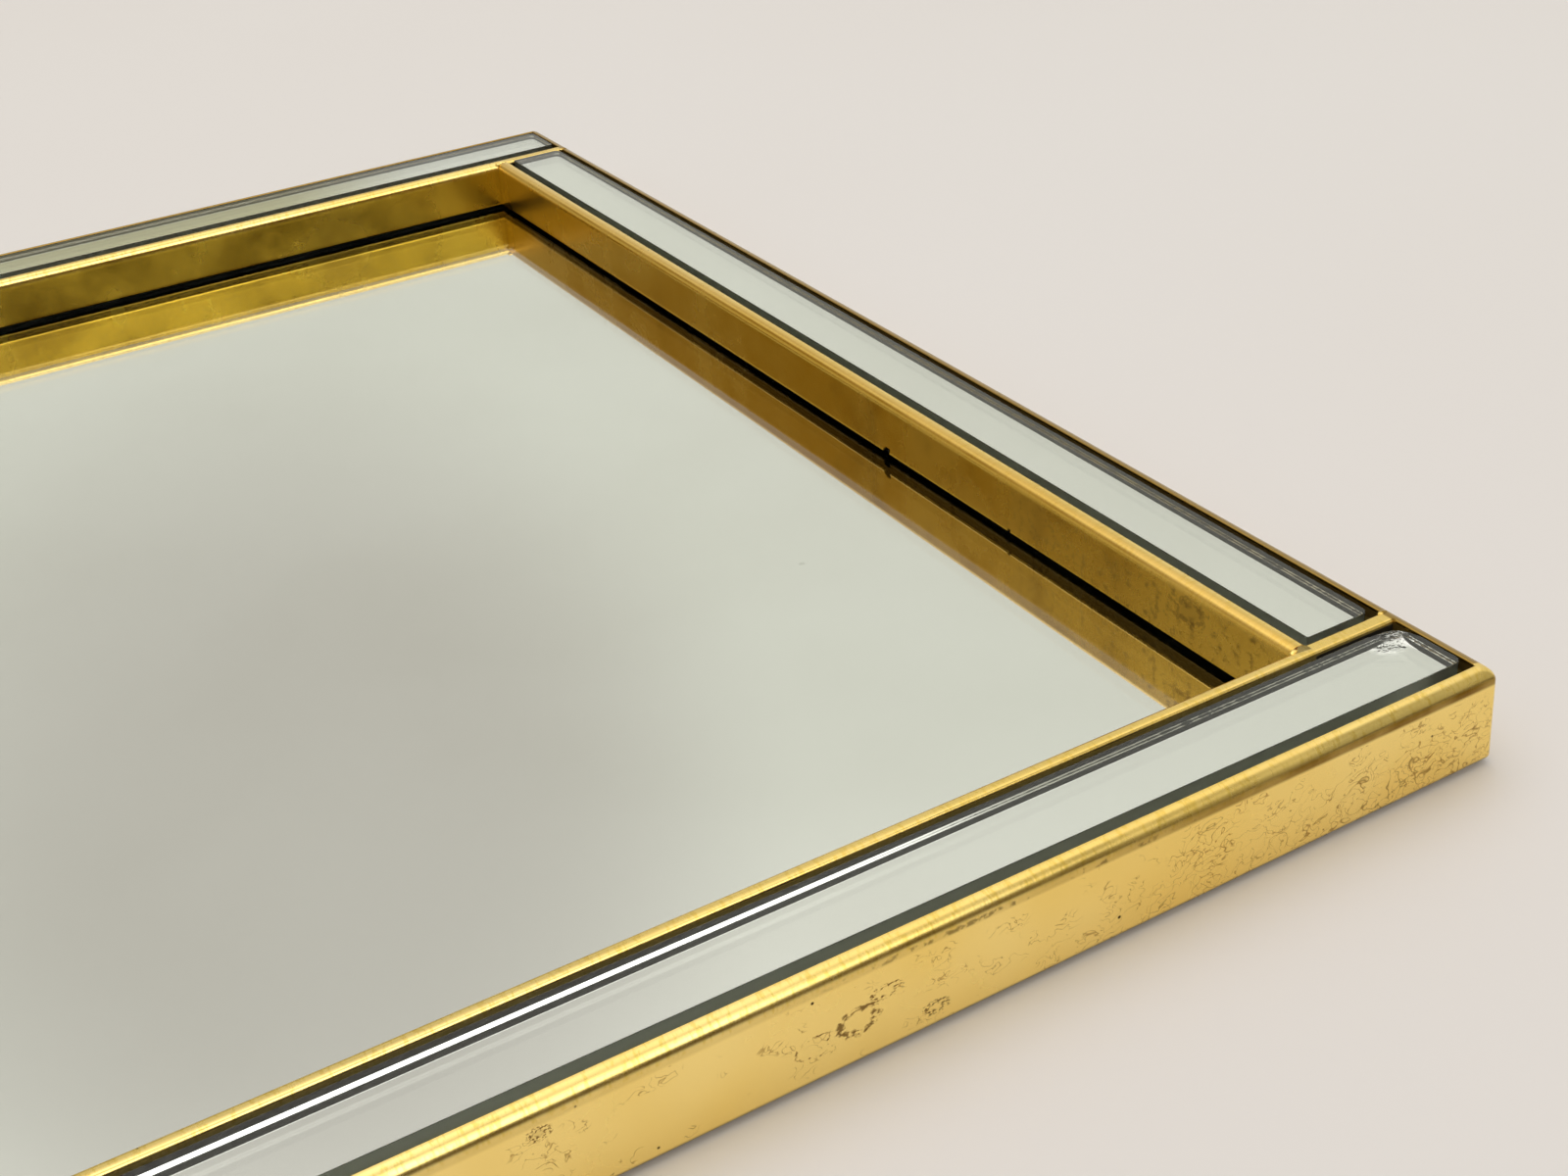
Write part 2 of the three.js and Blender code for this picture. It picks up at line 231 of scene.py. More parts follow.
@dataclass
class Workshop:
    """Turns finished bmeshes into pieces that ride on the tray's body."""

    body: str
    made: list = field(default_factory=list)

    def finish_piece(
        self,
        name: str,
        bm: Mesh,
        material: bpy.types.Material,
        slot: str,
        nodes: Iterable[str] = (),
        wall: float = 0.0,
    ) -> bpy.types.Object:
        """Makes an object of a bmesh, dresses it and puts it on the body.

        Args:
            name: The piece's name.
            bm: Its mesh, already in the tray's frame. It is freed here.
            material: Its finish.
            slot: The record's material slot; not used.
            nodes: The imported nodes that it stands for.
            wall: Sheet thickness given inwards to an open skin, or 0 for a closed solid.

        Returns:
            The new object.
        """
        for face in bm.faces:
            face.smooth = True
        for edge in bm.edges:
            edge.smooth = len(edge.link_faces) == 2 and edge.calc_face_angle(0.0) < SMOOTH_ANGLE
        mesh = bpy.data.meshes.new(name)
        bm.to_mesh(mesh)
        bm.free()
        mesh.materials.append(material)
        piece = bpy.data.objects.new(name, mesh)
        bpy.context.scene.collection.objects.link(piece)
        if wall:
            sheet = piece.modifiers.new("sheet", "SOLIDIFY")
            sheet.thickness = wall
            sheet.offset = -1.0
            sheet.use_even_offset = True
        weighted = piece.modifiers.new("even_normals", "WEIGHTED_NORMAL")
        weighted.keep_sharp = True
        weighted.weight = 100
        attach(piece, self.body)
        if nodes:
            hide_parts(*nodes)
        self.made.append(piece)
        log.info("made %s: %d faces, for %s", name, len(mesh.polygons), ", ".join(nodes) or "trim")
        return piece

    def dress(self, node: str, material: bpy.types.Material) -> None:
        """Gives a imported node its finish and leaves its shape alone.

        Args:
            node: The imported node's name.
            material: Its finish.
        """
        mesh = frame["nodes"][node].data
        mesh.materials.clear()
        mesh.materials.append(material)
        log.info("dressed %s", node)


# ---------------------------------------------------------------- shader building


class Graph:
    """A small hand for wiring shader nodes."""

    def __init__(self, tree: bpy.types.NodeTree) -> None:
        """Takes the node tree to build in."""
        self.tree = tree

    def add(self, kind: str, **settings: object) -> bpy.types.Node:
        """Adds a node and sets its properties.

        Args:
            kind: The node's type.
            settings: Its properties by name.

        Returns:
            The new node.
        """
        node = self.tree.nodes.new(kind)
        for name, value in settings.items():
            setattr(node, name, value)
        return node

    def feed(self, socket: Socket, value: object) -> None:
        """Links a socket to an input, or sets the input's value.

        Args:
            socket: The input to feed.
            value: A socket to link from, or a plain value.
        """
        if isinstance(value, Socket):
            self.tree.links.new(value, socket)
        else:
            socket.default_value = value

    def math(self, operation: str, a: object, b: object = 0.0, clamp: bool = False) -> Socket:
        """The result of a sum on two values.

        Args:
            operation: Blender's name of the sum.
            a: The first value.
            b: The second value.
            clamp: Whether the result is kept from 0 to 1.

        Returns:
            The result.
        """
        node = self.add("ShaderNodeMath", operation=operation, use_clamp=clamp)
        self.feed(node.inputs[0], a)
        self.feed(node.inputs[1], b)
        return node.outputs[0]

    def product(self, first: object, *others: object) -> Socket:
        """Several values multiplied together.

        Args:
            first: The first value.
            others: The values to multiply it by.

        Returns:
            The product.
        """
        for other in others:
            first = self.math("MULTIPLY", first, other)
        return first

    def gap(self, value: object, middle: float) -> Socket:
        """How far a value lies from a middle, on either side."""
        return self.math("ABSOLUTE", self.math("SUBTRACT", value, middle))

    def peak(self, away: object, width: object) -> Socket:
        """A value that is 1 where a distance is nothing and 0 from a width on."""
        return self.math("SUBTRACT", 1.0, self.math("DIVIDE", away, width), clamp=True)

    def above(self, value: object, limit: object, steepness: float) -> Socket:
        """How far a value is above a limit, made steeper and clamped."""
        return self.math("MULTIPLY", self.math("SUBTRACT", value, limit), steepness, clamp=True)

    def ramp(
        self, value: object, low: float, high: float, to_low: float = 0.0, to_high: float = 1.0,
    ) -> Socket:
        """A value mapped from one range to another, with soft ends and clamped.

        Args:
            value: What is mapped.
            low: The value that gives to_low.
            high: The value that gives to_high.
            to_low: One end of the result.
            to_high: The other end.

        Returns:
            The mapped value.
        """
        node = self.add("ShaderNodeMapRange", interpolation_type="SMOOTHSTEP", clamp=True)
        numbers = {"From Min": low, "From Max": high, "To Min": to_low, "To Max": to_high}
        for name, number in numbers.items():
            node.inputs[name].default_value = number
        self.feed(node.inputs["Value"], value)
        return node.outputs["Result"]

    def mix(self, share: object, a: object, b: object) -> Socket:
        """Two colours mixed by a share.

        Args:
            share: How much of the second colour, from 0 to 1.
            a: The first colour.
            b: The second colour.

        Returns:
            The mixed colour.
        """
        node = self.add("ShaderNodeMix", data_type="RGBA", blend_type="MIX", clamp_factor=True)
        self.feed(node.inputs[0], share)
        self.feed(node.inputs[6], a)
        self.feed(node.inputs[7], b)
        return node.outputs[2]

    def split(self, vector: Socket) -> list[Socket]:
        """The three parts of a vector."""
        node = self.add("ShaderNodeSeparateXYZ")
        self.feed(node.inputs[0], vector)
        return list(node.outputs)

    def scaled(self, vector: Socket, scale: Triple, move: Triple = (0.0, 0.0, 0.0)) -> Socket:
        """Coordinates stretched and moved.

        Args:
            vector: The coordinates.
            scale: The stretch along each axis.
            move: The move that follows it.

        Returns:
            The new coordinates.
        """
        node = self.add("ShaderNodeMapping")
        node.inputs["Scale"].default_value = scale
        node.inputs["Location"].default_value = move
        self.feed(node.inputs["Vector"], vector)
        return node.outputs["Vector"]

    def noise(
        self, vector: Socket, scale: object, detail: float = 2.0, rough: float = 0.5, twist: float = 0.0,
    ) -> Socket:
        """A noise pattern's value.

        Args:
            vector: The coordinates.
            scale: Features per metre, roughly.
            detail: Octaves of finer noise.
            rough: How strong the finer octaves are.
            twist: How far the pattern is distorted.

        Returns:
            The pattern, about 0.5 on average.
        """
        node = self.add("ShaderNodeTexNoise")
        self.feed(node.inputs["Scale"], scale)
        node.inputs["Detail"].default_value = detail
        node.inputs["Roughness"].default_value = rough
        node.inputs["Distortion"].default_value = twist
        self.feed(node.inputs["Vector"], vector)
        return node.outputs["Fac"]

    def bump(self, shader: bpy.types.Node, height: Socket, strength: float, distance: float) -> None:
        """Gives a shader the relief of a height.

        Args:
            shader: The Principled node.
            height: The height.
            strength: How strong the relief is.
            distance: How high a height of 1 stands, in metres.
        """
        node = self.add("ShaderNodeBump")
        node.inputs["Strength"].default_value = strength
        node.inputs["Distance"].default_value = distance
        self.feed(node.inputs["Height"], height)
        self.feed(shader.inputs["Normal"], node.outputs["Normal"])

    def group(self, tree: bpy.types.NodeTree, **inputs: object) -> bpy.types.Node:
        """Places a node group with its own values.

        Args:
            tree: The node group.
            inputs: Its inputs by name.

        Returns:
            The group's node.
        """
        node = self.add("ShaderNodeGroup", node_tree=tree)
        for name, value in inputs.items():
            self.feed(node.inputs[name], value)
        return node


def rgb(red: float, green: float, blue: float) -> Colour:
    """A colour with full alpha, from its linear parts."""
    return (red, green, blue, 1.0)


@dataclass(frozen=True)
class Pattern:
    """A node group being built: its tree, a hand for wiring it, what comes in and what goes out."""

    tree: bpy.types.NodeTree
    graph: Graph
    source: bpy.types.NodeOutputs
    sink: bpy.types.NodeInputs


def new_group(name: str, inputs: dict[str, float], outputs: tuple[str, ...]) -> Pattern:
    """Starts a shader node group that reads a vector and some values.

    Args:
        name: The group's name.
        inputs: Its value inputs with their defaults. The vector comes before them.
        outputs: The names of its value outputs.

    Returns:
        The group, ready for wiring.
    """
    tree = bpy.data.node_groups.new(name, "ShaderNodeTree")
    tree.interface.new_socket("Vector", in_out="INPUT", socket_type="NodeSocketVector")
    for title, default in inputs.items():
        made = tree.interface.new_socket(title, in_out="INPUT", socket_type="NodeSocketFloat")
        made.default_value = default
    for title in outputs:
        tree.interface.new_socket(title, in_out="OUTPUT", socket_type="NodeSocketFloat")
    graph = Graph(tree)
    return Pattern(tree, graph, graph.add("NodeGroupInput").outputs, graph.add("NodeGroupOutput").inputs)


class Effects:
    """The wear patterns that several finishes share, each a node group built once."""

    def __init__(self) -> None:
        """Builds the groups."""
        self.scratches = self.make_scratches()
        self.pits = self.make_pits()
        self.cloud = self.make_cloud()
        self.ring = self.make_ring()

    def make_scratches(self) -> bpy.types.NodeTree:
        """Thin curling lines, broken into short lengths.

        Returns:
            The node group.
        """
        made = new_group("curling_scratches", {"Scale": 90.0, "Width": 0.006, "Amount": 0.5}, ("Mask",))
        g, source = made.graph, made.source
        contour = g.noise(source["Vector"], source["Scale"], 1.5, twist=0.9)
        line = g.peak(g.gap(contour, 0.5), source["Width"])
        breaks = g.noise(source["Vector"], g.math("MULTIPLY", source["Scale"], 0.6), 0.0)
        limit = g.math("SUBTRACT", 0.78, g.math("MULTIPLY", source["Amount"], 0.5))
        g.feed(made.sink["Mask"], g.product(line, g.above(breaks, limit, 12.0)))
        return made.tree

    def make_pits(self) -> bpy.types.NodeTree:
        """Scattered round pits, few where the amount is low.

        Returns:
            The node group.
        """
        made = new_group("pits", {"Scale": 260.0, "Radius": 0.16, "Amount": 0.2}, ("Mask",))
        g, source = made.graph, made.source
        cells = g.add("ShaderNodeTexVoronoi")
        g.feed(cells.inputs["Vector"], source["Vector"])
        g.feed(cells.inputs["Scale"], source["Scale"])
        spot = g.math("MULTIPLY", g.peak(cells.outputs["Distance"], source["Radius"]), 2.5, clamp=True)
        part = g.add("ShaderNodeSeparateColor")
        g.feed(part.inputs[0], cells.outputs["Color"])
        chosen = g.math("LESS_THAN", part.outputs[0], source["Amount"])
        g.feed(made.sink["Mask"], g.product(spot, chosen))
        return made.tree

    def make_ring(self) -> bpy.types.NodeTree:
        """A broken, wavering ring one unit in radius, and the disc inside it.

        Returns:
            The node group.
        """
        made = new_group("ring_mark", {"Width": 0.2, "Break": 0.5}, ("Ring", "Disc"))
        g, source = made.graph, made.source
        wave = g.noise(source["Vector"], 1.7, 3.0)
        length = g.add("ShaderNodeVectorMath", operation="LENGTH")
        g.feed(length.inputs[0], source["Vector"])
        waver = g.math("MULTIPLY", g.math("SUBTRACT", wave, 0.5), 0.9)
        radius = g.math("ADD", length.outputs["Value"], waver)
        line = g.math("MULTIPLY", g.peak(g.gap(radius, 1.0), source["Width"]), 2.0, clamp=True)
        gaps = g.noise(source["Vector"], 2.6, 2.0)
        g.feed(made.sink["Ring"], g.product(line, g.above(gaps, source["Break"], 9.0)))
        g.feed(made.sink["Disc"], g.ramp(radius, 1.05, 0.55))
        return made.tree

    def make_cloud(self) -> bpy.types.NodeTree:
        """Soft blotches with ragged edges.

        Returns:
            The node group.
        """
        made = new_group("tarnish_cloud", {"Scale": 30.0, "Level": 0.55}, ("Mask",))
        g, source = made.graph, made.source
        blotches = g.noise(source["Vector"], source["Scale"], 5.0, 0.62)
        g.feed(made.sink["Mask"], g.above(blotches, source["Level"], 7.0))
        return made.tree


def new_material(name: str) -> tuple[bpy.types.Material, Graph, bpy.types.Node, Socket]:
    """Starts a material.

    Args:
        name: The material's name.

    Returns:
        The material, a hand for wiring it, its Principled node and its object coordinates.
    """
    material = bpy.data.materials.new(name)
    material.use_nodes = True
    graph = Graph(material.node_tree)
    shader = material.node_tree.nodes["Principled BSDF"]
    return material, graph, shader, graph.add("ShaderNodeTexCoord").outputs["Object"]


# ---------------------------------------------------------------- finishes


@dataclass(frozen=True)
class Mark:
    """A ring-shaped scratch or stain: where it lies, its half sizes, how broken and how brown it is."""

    middle: Triple
    half: Triple
    width: float
    broken: float
    disc: float
    strength: float = 0.95


@dataclass(frozen=True)
class Point:
    """Where a shaded point lies, as one vector and as its three parts."""

    where: Socket
    x: Socket
    y: Socket
    z: Socket


@dataclass(frozen=True)
class Zones:
    """How deep inside the tray's outline a point is, and masks for the parts of a rail."""

    depth: Socket
    skin: Socket
    roll: Socket
    wall: Socket
    channel: Socket
    face: Socket


@dataclass(frozen=True)
class Wear:
    """Masks for the ways in which a rail is worn, and for the painted shade along its crease and at its
    foot.
    """

    speckle: Socket
    coarse: Socket
    fine: Socket
    pits: Socket
    dirt_and_shade: Socket
    aged: Socket
    dents: Socket
    stain: Socket


@dataclass(frozen=True)
class BrassFinish:
    """Old polished sheet brass with hairline scratches, pits and tarnish, and with painted shade: black in
    the channel under the glass, and darker bands along the crease below the roll and at the foot.

    The grain runs along the rail, and rough strokes run across the rolled edge. A field that is
    a Span gives the two places between which its mask fades in.
    """

    name: str
    along_x: bool
    marks: tuple[Mark, ...]
    polished: Colour = rgb(1.0, 0.76, 0.28)
    warm: Colour = rgb(0.95, 0.68, 0.20)
    amber: Colour = rgb(0.77, 0.51, 0.055)
    tarnish: Colour = rgb(0.24, 0.125, 0.018)
    grime: Colour = rgb(0.045, 0.02, 0.004)
    # Painted shade: the black that fills the channel under the glass strips.
    black: Colour = rgb(0.010, 0.006, 0.002)
    lip_amber: Colour = rgb(0.78, 0.47, 0.09)
    # Colour of the band along the crease below the roll and of the foot: soiling there, and painted dark
    # reflection and painted shade.
    olive_shade: Colour = rgb(0.20, 0.10, 0.004)
    hairline: Colour = rgb(0.34, 0.17, 0.035)
    stained: Colour = rgb(0.15, 0.068, 0.012)
    roughness: float = 0.25
    relief: float = 0.03 * MM
    half_width: float = 150.0 * MM
    half_depth: float = 200.0 * MM
    skin_depth: float = 2.0 * MM
    roll_fade: Span = (17.9 * MM, 18.5 * MM)
    face_fade: Span = (17.9 * MM, 16.5 * MM)
    wall_at: float = 24.9 * MM
    wall_fade: Span = (19.9 * MM, 18.1 * MM)
    channel_near: Span = (2.8 * MM, 3.2 * MM)
    channel_far: Span = (22.4 * MM, 21.8 * MM)
    # Heights over which the channel's painted shade fades in.
    channel_shade_fade: Span = (20.35 * MM, 19.8 * MM)
    lip_fade: Span = (22.2 * MM, 23.6 * MM)
    outer_lip: Span = (3.6 * MM, 3.0 * MM)
    behind_front_roll: Span = (-196.9 * MM, -196.4 * MM)
    # Painted shade: heights over which the face darkens towards its foot.
    foot_shade_fade: Span = (2.1 * MM, 1.1 * MM)
    # The band along the crease below the roll, darker towards the right end: soiling and painted dark
    # reflection.
    dirt_and_shade_at: float = 18.3 * MM
    dirt_and_shade_band: Span = (1.2 * MM, 0.4 * MM)
    dirt_and_shade_grows: Span = (30.0 * MM, 120.0 * MM)
    crease_at: float = 18.1 * MM
    crease_band: Span = (0.7 * MM, 0.2 * MM)
    dents_at: float = 45.0 * MM
    dents_reach: Span = (50.0 * MM, 12.0 * MM)
    speckle_grows: Span = (50.0 * MM, 172.0 * MM)
    wear_grows: Span = (0.0, 125.0 * MM)
    wear_sinks: Span = (17.5 * MM, 8.0 * MM)

    def build(self, effects: Effects) -> bpy.types.Material:
        """Builds the material.

        Args:
            effects: The shared wear patterns.

        Returns:
            The finished material.
        """
        material, g, shader, where = new_material(self.name)
        at = Point(where, *g.split(where))
        zones = self.zones(g, at)
        wear = self.wear(g, at, zones, effects)
        stroke_scale = (1.0, 0.35, 0.35) if self.along_x else (0.35, 1.0, 0.35)
        strokes = g.noise(g.scaled(where, stroke_scale), 1300.0, 3.0, 0.6)
        g.feed(shader.inputs["Base Color"], self.colour(g, at, zones, wear, strokes))
        # Painted shade: in the channel under the glass the brass is made non-metallic, rougher and black.
        g.feed(shader.inputs["Metallic"], g.math("SUBTRACT", 1.0, zones.channel))
        marked = g.math("MAXIMUM", wear.coarse, wear.stain)
        uneven = g.noise(where, 45.0, 4.0, 0.6)
        rough = g.ramp(uneven, 0.3, 0.7, self.roughness - 0.05, self.roughness + 0.06)
        rough = g.math("ADD", rough, g.product(g.math("MAXIMUM", marked, wear.speckle), 0.2))
        rough = g.math("ADD", rough, g.product(zones.channel, 0.4))
        g.feed(shader.inputs["Roughness"], rough)
        g.bump(shader, self.height(g, at, zones, wear, marked, strokes), 0.55, self.relief)
        return material

    def zones(self, g: Graph, at: Point) -> Zones:
        """Tells the parts of the rail apart.

        Args:
            g: The material's graph.
            at: The shaded point.

        Returns:
            The parts' masks.
        """
        from_x = g.math("SUBTRACT", self.half_width, g.math("ABSOLUTE", at.x))
        from_y = g.math("SUBTRACT", self.half_depth, g.math("ABSOLUTE", at.y))
        depth = g.math("MINIMUM", from_x, from_y)
        skin = g.math("LESS_THAN", depth, self.skin_depth)
        between = g.product(g.ramp(depth, *self.channel_near), g.ramp(depth, *self.channel_far))
        return Zones(
            depth=depth,
            skin=skin,
            roll=g.ramp(at.z, *self.roll_fade),
            wall=g.product(g.math("GREATER_THAN", depth, self.wall_at), g.ramp(at.z, *self.wall_fade)),
            # The channel mask carries the painted shade in the recess under the glass.
            channel=g.product(between, g.ramp(at.z, *self.channel_shade_fade)),
            face=g.product(g.ramp(at.z, *self.face_fade), skin),
        )

    def wear(self, g: Graph, at: Point, zones: Zones, effects: Effects) -> Wear:
        """Lays out the scratches, pits, soiling and stains, and the painted shade along the crease and at
        the foot.

        Args:
            g: The material's graph.
            at: The shaded point.
            zones: The masks of the rail's parts.
            effects: The shared wear patterns.

        Returns:
            The masks of the wear.
        """
        where, z = at.where, at.z
        fine_cloud = g.group(effects.cloud, Vector=where, Scale=480.0, Level=0.515).outputs["Mask"]
        near_end = g.ramp(g.math("MULTIPLY", at.y, -1.0), *self.speckle_grows)
        end_wear = g.ramp(at.x, *self.wear_grows, 0.12, 1.0)
        worn = g.product(end_wear, g.ramp(z, *self.wear_sinks, 0.45, 1.0), zones.face)
        patchy = g.ramp(g.noise(where, 55.0, 2.0), 0.4, 0.6, 0.35, 1.15)
        scratched = g.scaled(where, (1.0, 1.0, 1.35))
        coarse_amount = g.product(worn, patchy, 0.95)
        coarse = g.group(effects.scratches, Vector=scratched, Scale=195.0, Width=0.015, Amount=coarse_amount)
        fine_amount = g.math("ADD", g.product(worn, 0.85), g.product(zones.face, 0.2))
        fine = g.group(effects.scratches, Vector=scratched, Scale=370.0, Width=0.019, Amount=fine_amount)
        pits = g.group(effects.pits, Vector=where, Scale=260.0, Radius=0.10, Amount=0.05)
        # Soiling and painted dark reflection along the crease, growing towards the right end.
        dirt_and_shade = g.product(
            g.ramp(g.gap(z, self.dirt_and_shade_at), *self.dirt_and_shade_band),
            zones.skin,
            g.ramp(g.noise(where, 90.0, 3.0), 0.3, 0.6, 0.75, 1.0),
            g.ramp(at.x, *self.dirt_and_shade_grows, 0.22, 1.0),
        )
        # Painted shade: the face darkens towards its bottom edge.
        under = g.product(g.ramp(z, *self.foot_shade_fade, 0.0, 0.75), zones.skin)
        lip = g.product(zones.roll, g.ramp(zones.depth, *self.outer_lip))
        dents = g.product(
            g.ramp(g.gap(z, self.crease_at), *self.crease_band),
            zones.skin,
            g.ramp(g.noise(where, 420.0, 3.0, 0.6), 0.52, 0.62),
            g.ramp(g.gap(at.x, self.dents_at), *self.dents_reach),
        )
        return Wear(
            speckle=g.product(fine_cloud, zones.wall, near_end),
            coarse=coarse.outputs["Mask"],
            fine=fine.outputs["Mask"],
            pits=pits.outputs["Mask"],
            dirt_and_shade=g.math("MAXIMUM", dirt_and_shade, under),
            aged=g.product(lip, g.ramp(at.y, *self.behind_front_roll, 0.0, 0.8)),
            dents=dents,
            stain=self.stain(g, where, effects),
        )

    def stain(self, g: Graph, where: Socket, effects: Effects) -> Socket:
        """Lays out the ring-shaped marks.

        Args:
            g: The material's graph.
            where: The object coordinates.
            effects: The shared wear patterns.

        Returns:
            One mask of all the marks.
        """
        stain: object = 0.0
        for mark in self.marks:
            scale = tuple(1.0 / half for half in mark.half)
            move = tuple(-middle / half for middle, half in zip(mark.middle, mark.half))
            place = g.scaled(where, scale, move)
            ring = g.group(effects.ring, Vector=place, Width=mark.width, Break=mark.broken).outputs
            made = g.math("MAXIMUM", ring["Ring"], g.product(ring["Disc"], mark.disc))
            stain = g.math("MAXIMUM", stain, g.product(made, mark.strength))
        return stain

    def colour(self, g: Graph, at: Point, zones: Zones, wear: Wear, strokes: Socket) -> Socket:
        """Paints the brass, one layer over another.

        Args:
            g: The material's graph.
            at: The shaded point.
            zones: The masks of the rail's parts.
            wear: The masks of the wear.
            strokes: The pattern of rough strokes.

        Returns:
            The colour.
        """
        cloud = g.ramp(g.noise(at.where, 38.0, 3.0, 0.5), 0.45, 0.72)
        inner_lip = 0.0 if self.along_x else g.ramp(zones.depth, *self.lip_fade, 0.0, 0.6)
        colour = g.mix(g.ramp(g.noise(at.where, 14.0, 3.0, 0.6), 0.38, 0.66), self.polished, self.warm)
        for share, paint in (
            (g.product(zones.roll, g.ramp(strokes, 0.48, 0.66, 0.0, 0.45)), self.amber),
            (zones.wall, self.amber),
            (inner_lip, self.lip_amber),
            (g.product(zones.wall, g.ramp(cloud, 0.0, 1.0, 0.0, 0.45)), self.tarnish),
            (g.product(wear.speckle, 0.75), self.tarnish),
            # Soiling and painted dark reflection along the crease, and painted shade at the foot.
            (wear.dirt_and_shade, self.olive_shade),
            (wear.aged, self.tarnish),
            (g.product(wear.coarse, 0.75), self.tarnish),
            (g.product(wear.fine, 0.75), self.hairline),
            (g.product(wear.stain, 0.9), self.stained),
            (g.math("MAXIMUM", wear.pits, g.product(wear.dents, 0.6)), self.grime),
            # Painted shade: the channel under the glass strips is painted black.
            (zones.channel, self.black),
        ):
            colour = g.mix(share, colour, paint)
        return colour

    def height(
        self, g: Graph, at: Point, zones: Zones, wear: Wear, marked: Socket, strokes: Socket,
    ) -> Socket:
        """Adds up the relief.

        Args:
            g: The material's graph.
            at: The shaded point.
            zones: The masks of the rail's parts.
            wear: The masks of the wear.
            marked: The mask of the coarse scratches and the stains.
            strokes: The pattern of rough strokes.

        Returns:
            The height, in units of the relief.
        """
        length_scale = (0.05, 1.0, 1.0) if self.along_x else (1.0, 0.05, 1.0)
        height = g.product(g.noise(g.scaled(at.where, length_scale), 2200.0, 2.0, 0.6), 0.10)
        swell = g.noise(at.where, 60.0, 2.0, 0.5)
        for raised in (g.product(swell, 0.6), g.product(zones.roll, 0.8, strokes)):
            height = g.math("ADD", height, raised)
        pitted = g.math("MAXIMUM", wear.pits, wear.dents)
        for mask, deep in ((marked, 0.5), (wear.fine, 0.25), (pitted, 0.6), (wear.speckle, 0.35)):
            height = g.math("SUBTRACT", height, g.product(mask, deep))
        return height


@dataclass(frozen=True)
class GlassFinish:
    """Float glass, faintly green, with a few light rubs on its face and one chipped corner."""

    name: str = "float_glass"
    ior: float = 1.52
    absorbs: Colour = rgb(0.52, 0.74, 0.52)
    density: float = 14.0
    rough: Span = (0.0, 0.03)
    tint: Colour = rgb(1.0, 1.0, 1.0)
    smooth_below: float = 0.0
    smooth_fade: float = 0.15 * MM
    least_ground: float = 0.10
    chip_at: Triple = (143.5 * MM, -179.3 * MM, 21.0 * MM)
    chip_reach: float = 5.0 * MM
    chip_relief: float = 0.6 * MM
    shells: float = 900.0

    def build(self, effects: Effects) -> bpy.types.Material:
        """Builds the material.

        Args:
            effects: The shared wear patterns; not used.

        Returns:
            The finished material.
        """
        material, g, shader, where = new_material(self.name)
        shader.inputs["Transmission Weight"].default_value = 1.0
        shader.inputs["IOR"].default_value = self.ior
        shader.inputs["Base Color"].default_value = self.tint
        rough = g.ramp(g.noise(where, 40.0, 4.0, 0.6), 0.45, 0.8, *self.rough)
        if self.smooth_below:
            height = g.split(where)[2]
            fade = self.smooth_fade
            ground = g.ramp(height, self.smooth_below - fade, self.smooth_below + fade)
            rough = g.math("MAXIMUM", g.product(rough, ground), self.least_ground)
        g.feed(shader.inputs["Roughness"], rough)
        away = g.add("ShaderNodeVectorMath", operation="DISTANCE")
        g.feed(away.inputs[0], where)
        away.inputs[1].default_value = self.chip_at
        broken = g.ramp(away.outputs["Value"], self.chip_reach, 0.5 * self.chip_reach)
        shells = g.add("ShaderNodeTexVoronoi", feature="F2")
        g.feed(shells.inputs["Vector"], g.scaled(where, (1.0, 1.8, 1.0)))
        shells.inputs["Scale"].default_value = self.shells
        g.bump(shader, g.product(shells.outputs["Distance"], broken), 1.0, self.chip_relief)
        volume = g.add("ShaderNodeVolumeAbsorption")
        volume.inputs["Color"].default_value = self.absorbs
        volume.inputs["Density"].default_value = self.density
        output = material.node_tree.nodes["Material Output"]
        g.feed(output.inputs["Volume"], volume.outputs["Volume"])
        return material


@dataclass(frozen=True)
class SilverFinish:
    """Silver on the back of glass, with faint foxing."""

    name: str = "silvering"
    bright: Colour = rgb(0.90, 0.90, 0.875)
    foxed: Colour = rgb(0.70, 0.68, 0.62)

    def build(self, effects: Effects) -> bpy.types.Material:
        """Builds the material.

        Args:
            effects: The shared wear patterns.

        Returns:
            The finished material.
        """
        material, g, shader, where = new_material(self.name)
        spots = g.group(effects.pits, Vector=where, Scale=60.0, Radius=0.05, Amount=0.05).outputs["Mask"]
        haze = g.noise(where, 9.0, 3.0, 0.5)
        colour = g.mix(g.ramp(haze, 0.35, 0.75, 0.0, 0.25), self.bright, self.foxed)
        colour = g.mix(g.product(spots, 0.5), colour, self.foxed)
        g.feed(shader.inputs["Base Color"], colour)
        shader.inputs["Metallic"].default_value = 1.0
        g.feed(shader.inputs["Roughness"], g.ramp(haze, 0.3, 0.8, 0.015, 0.04))
        return material


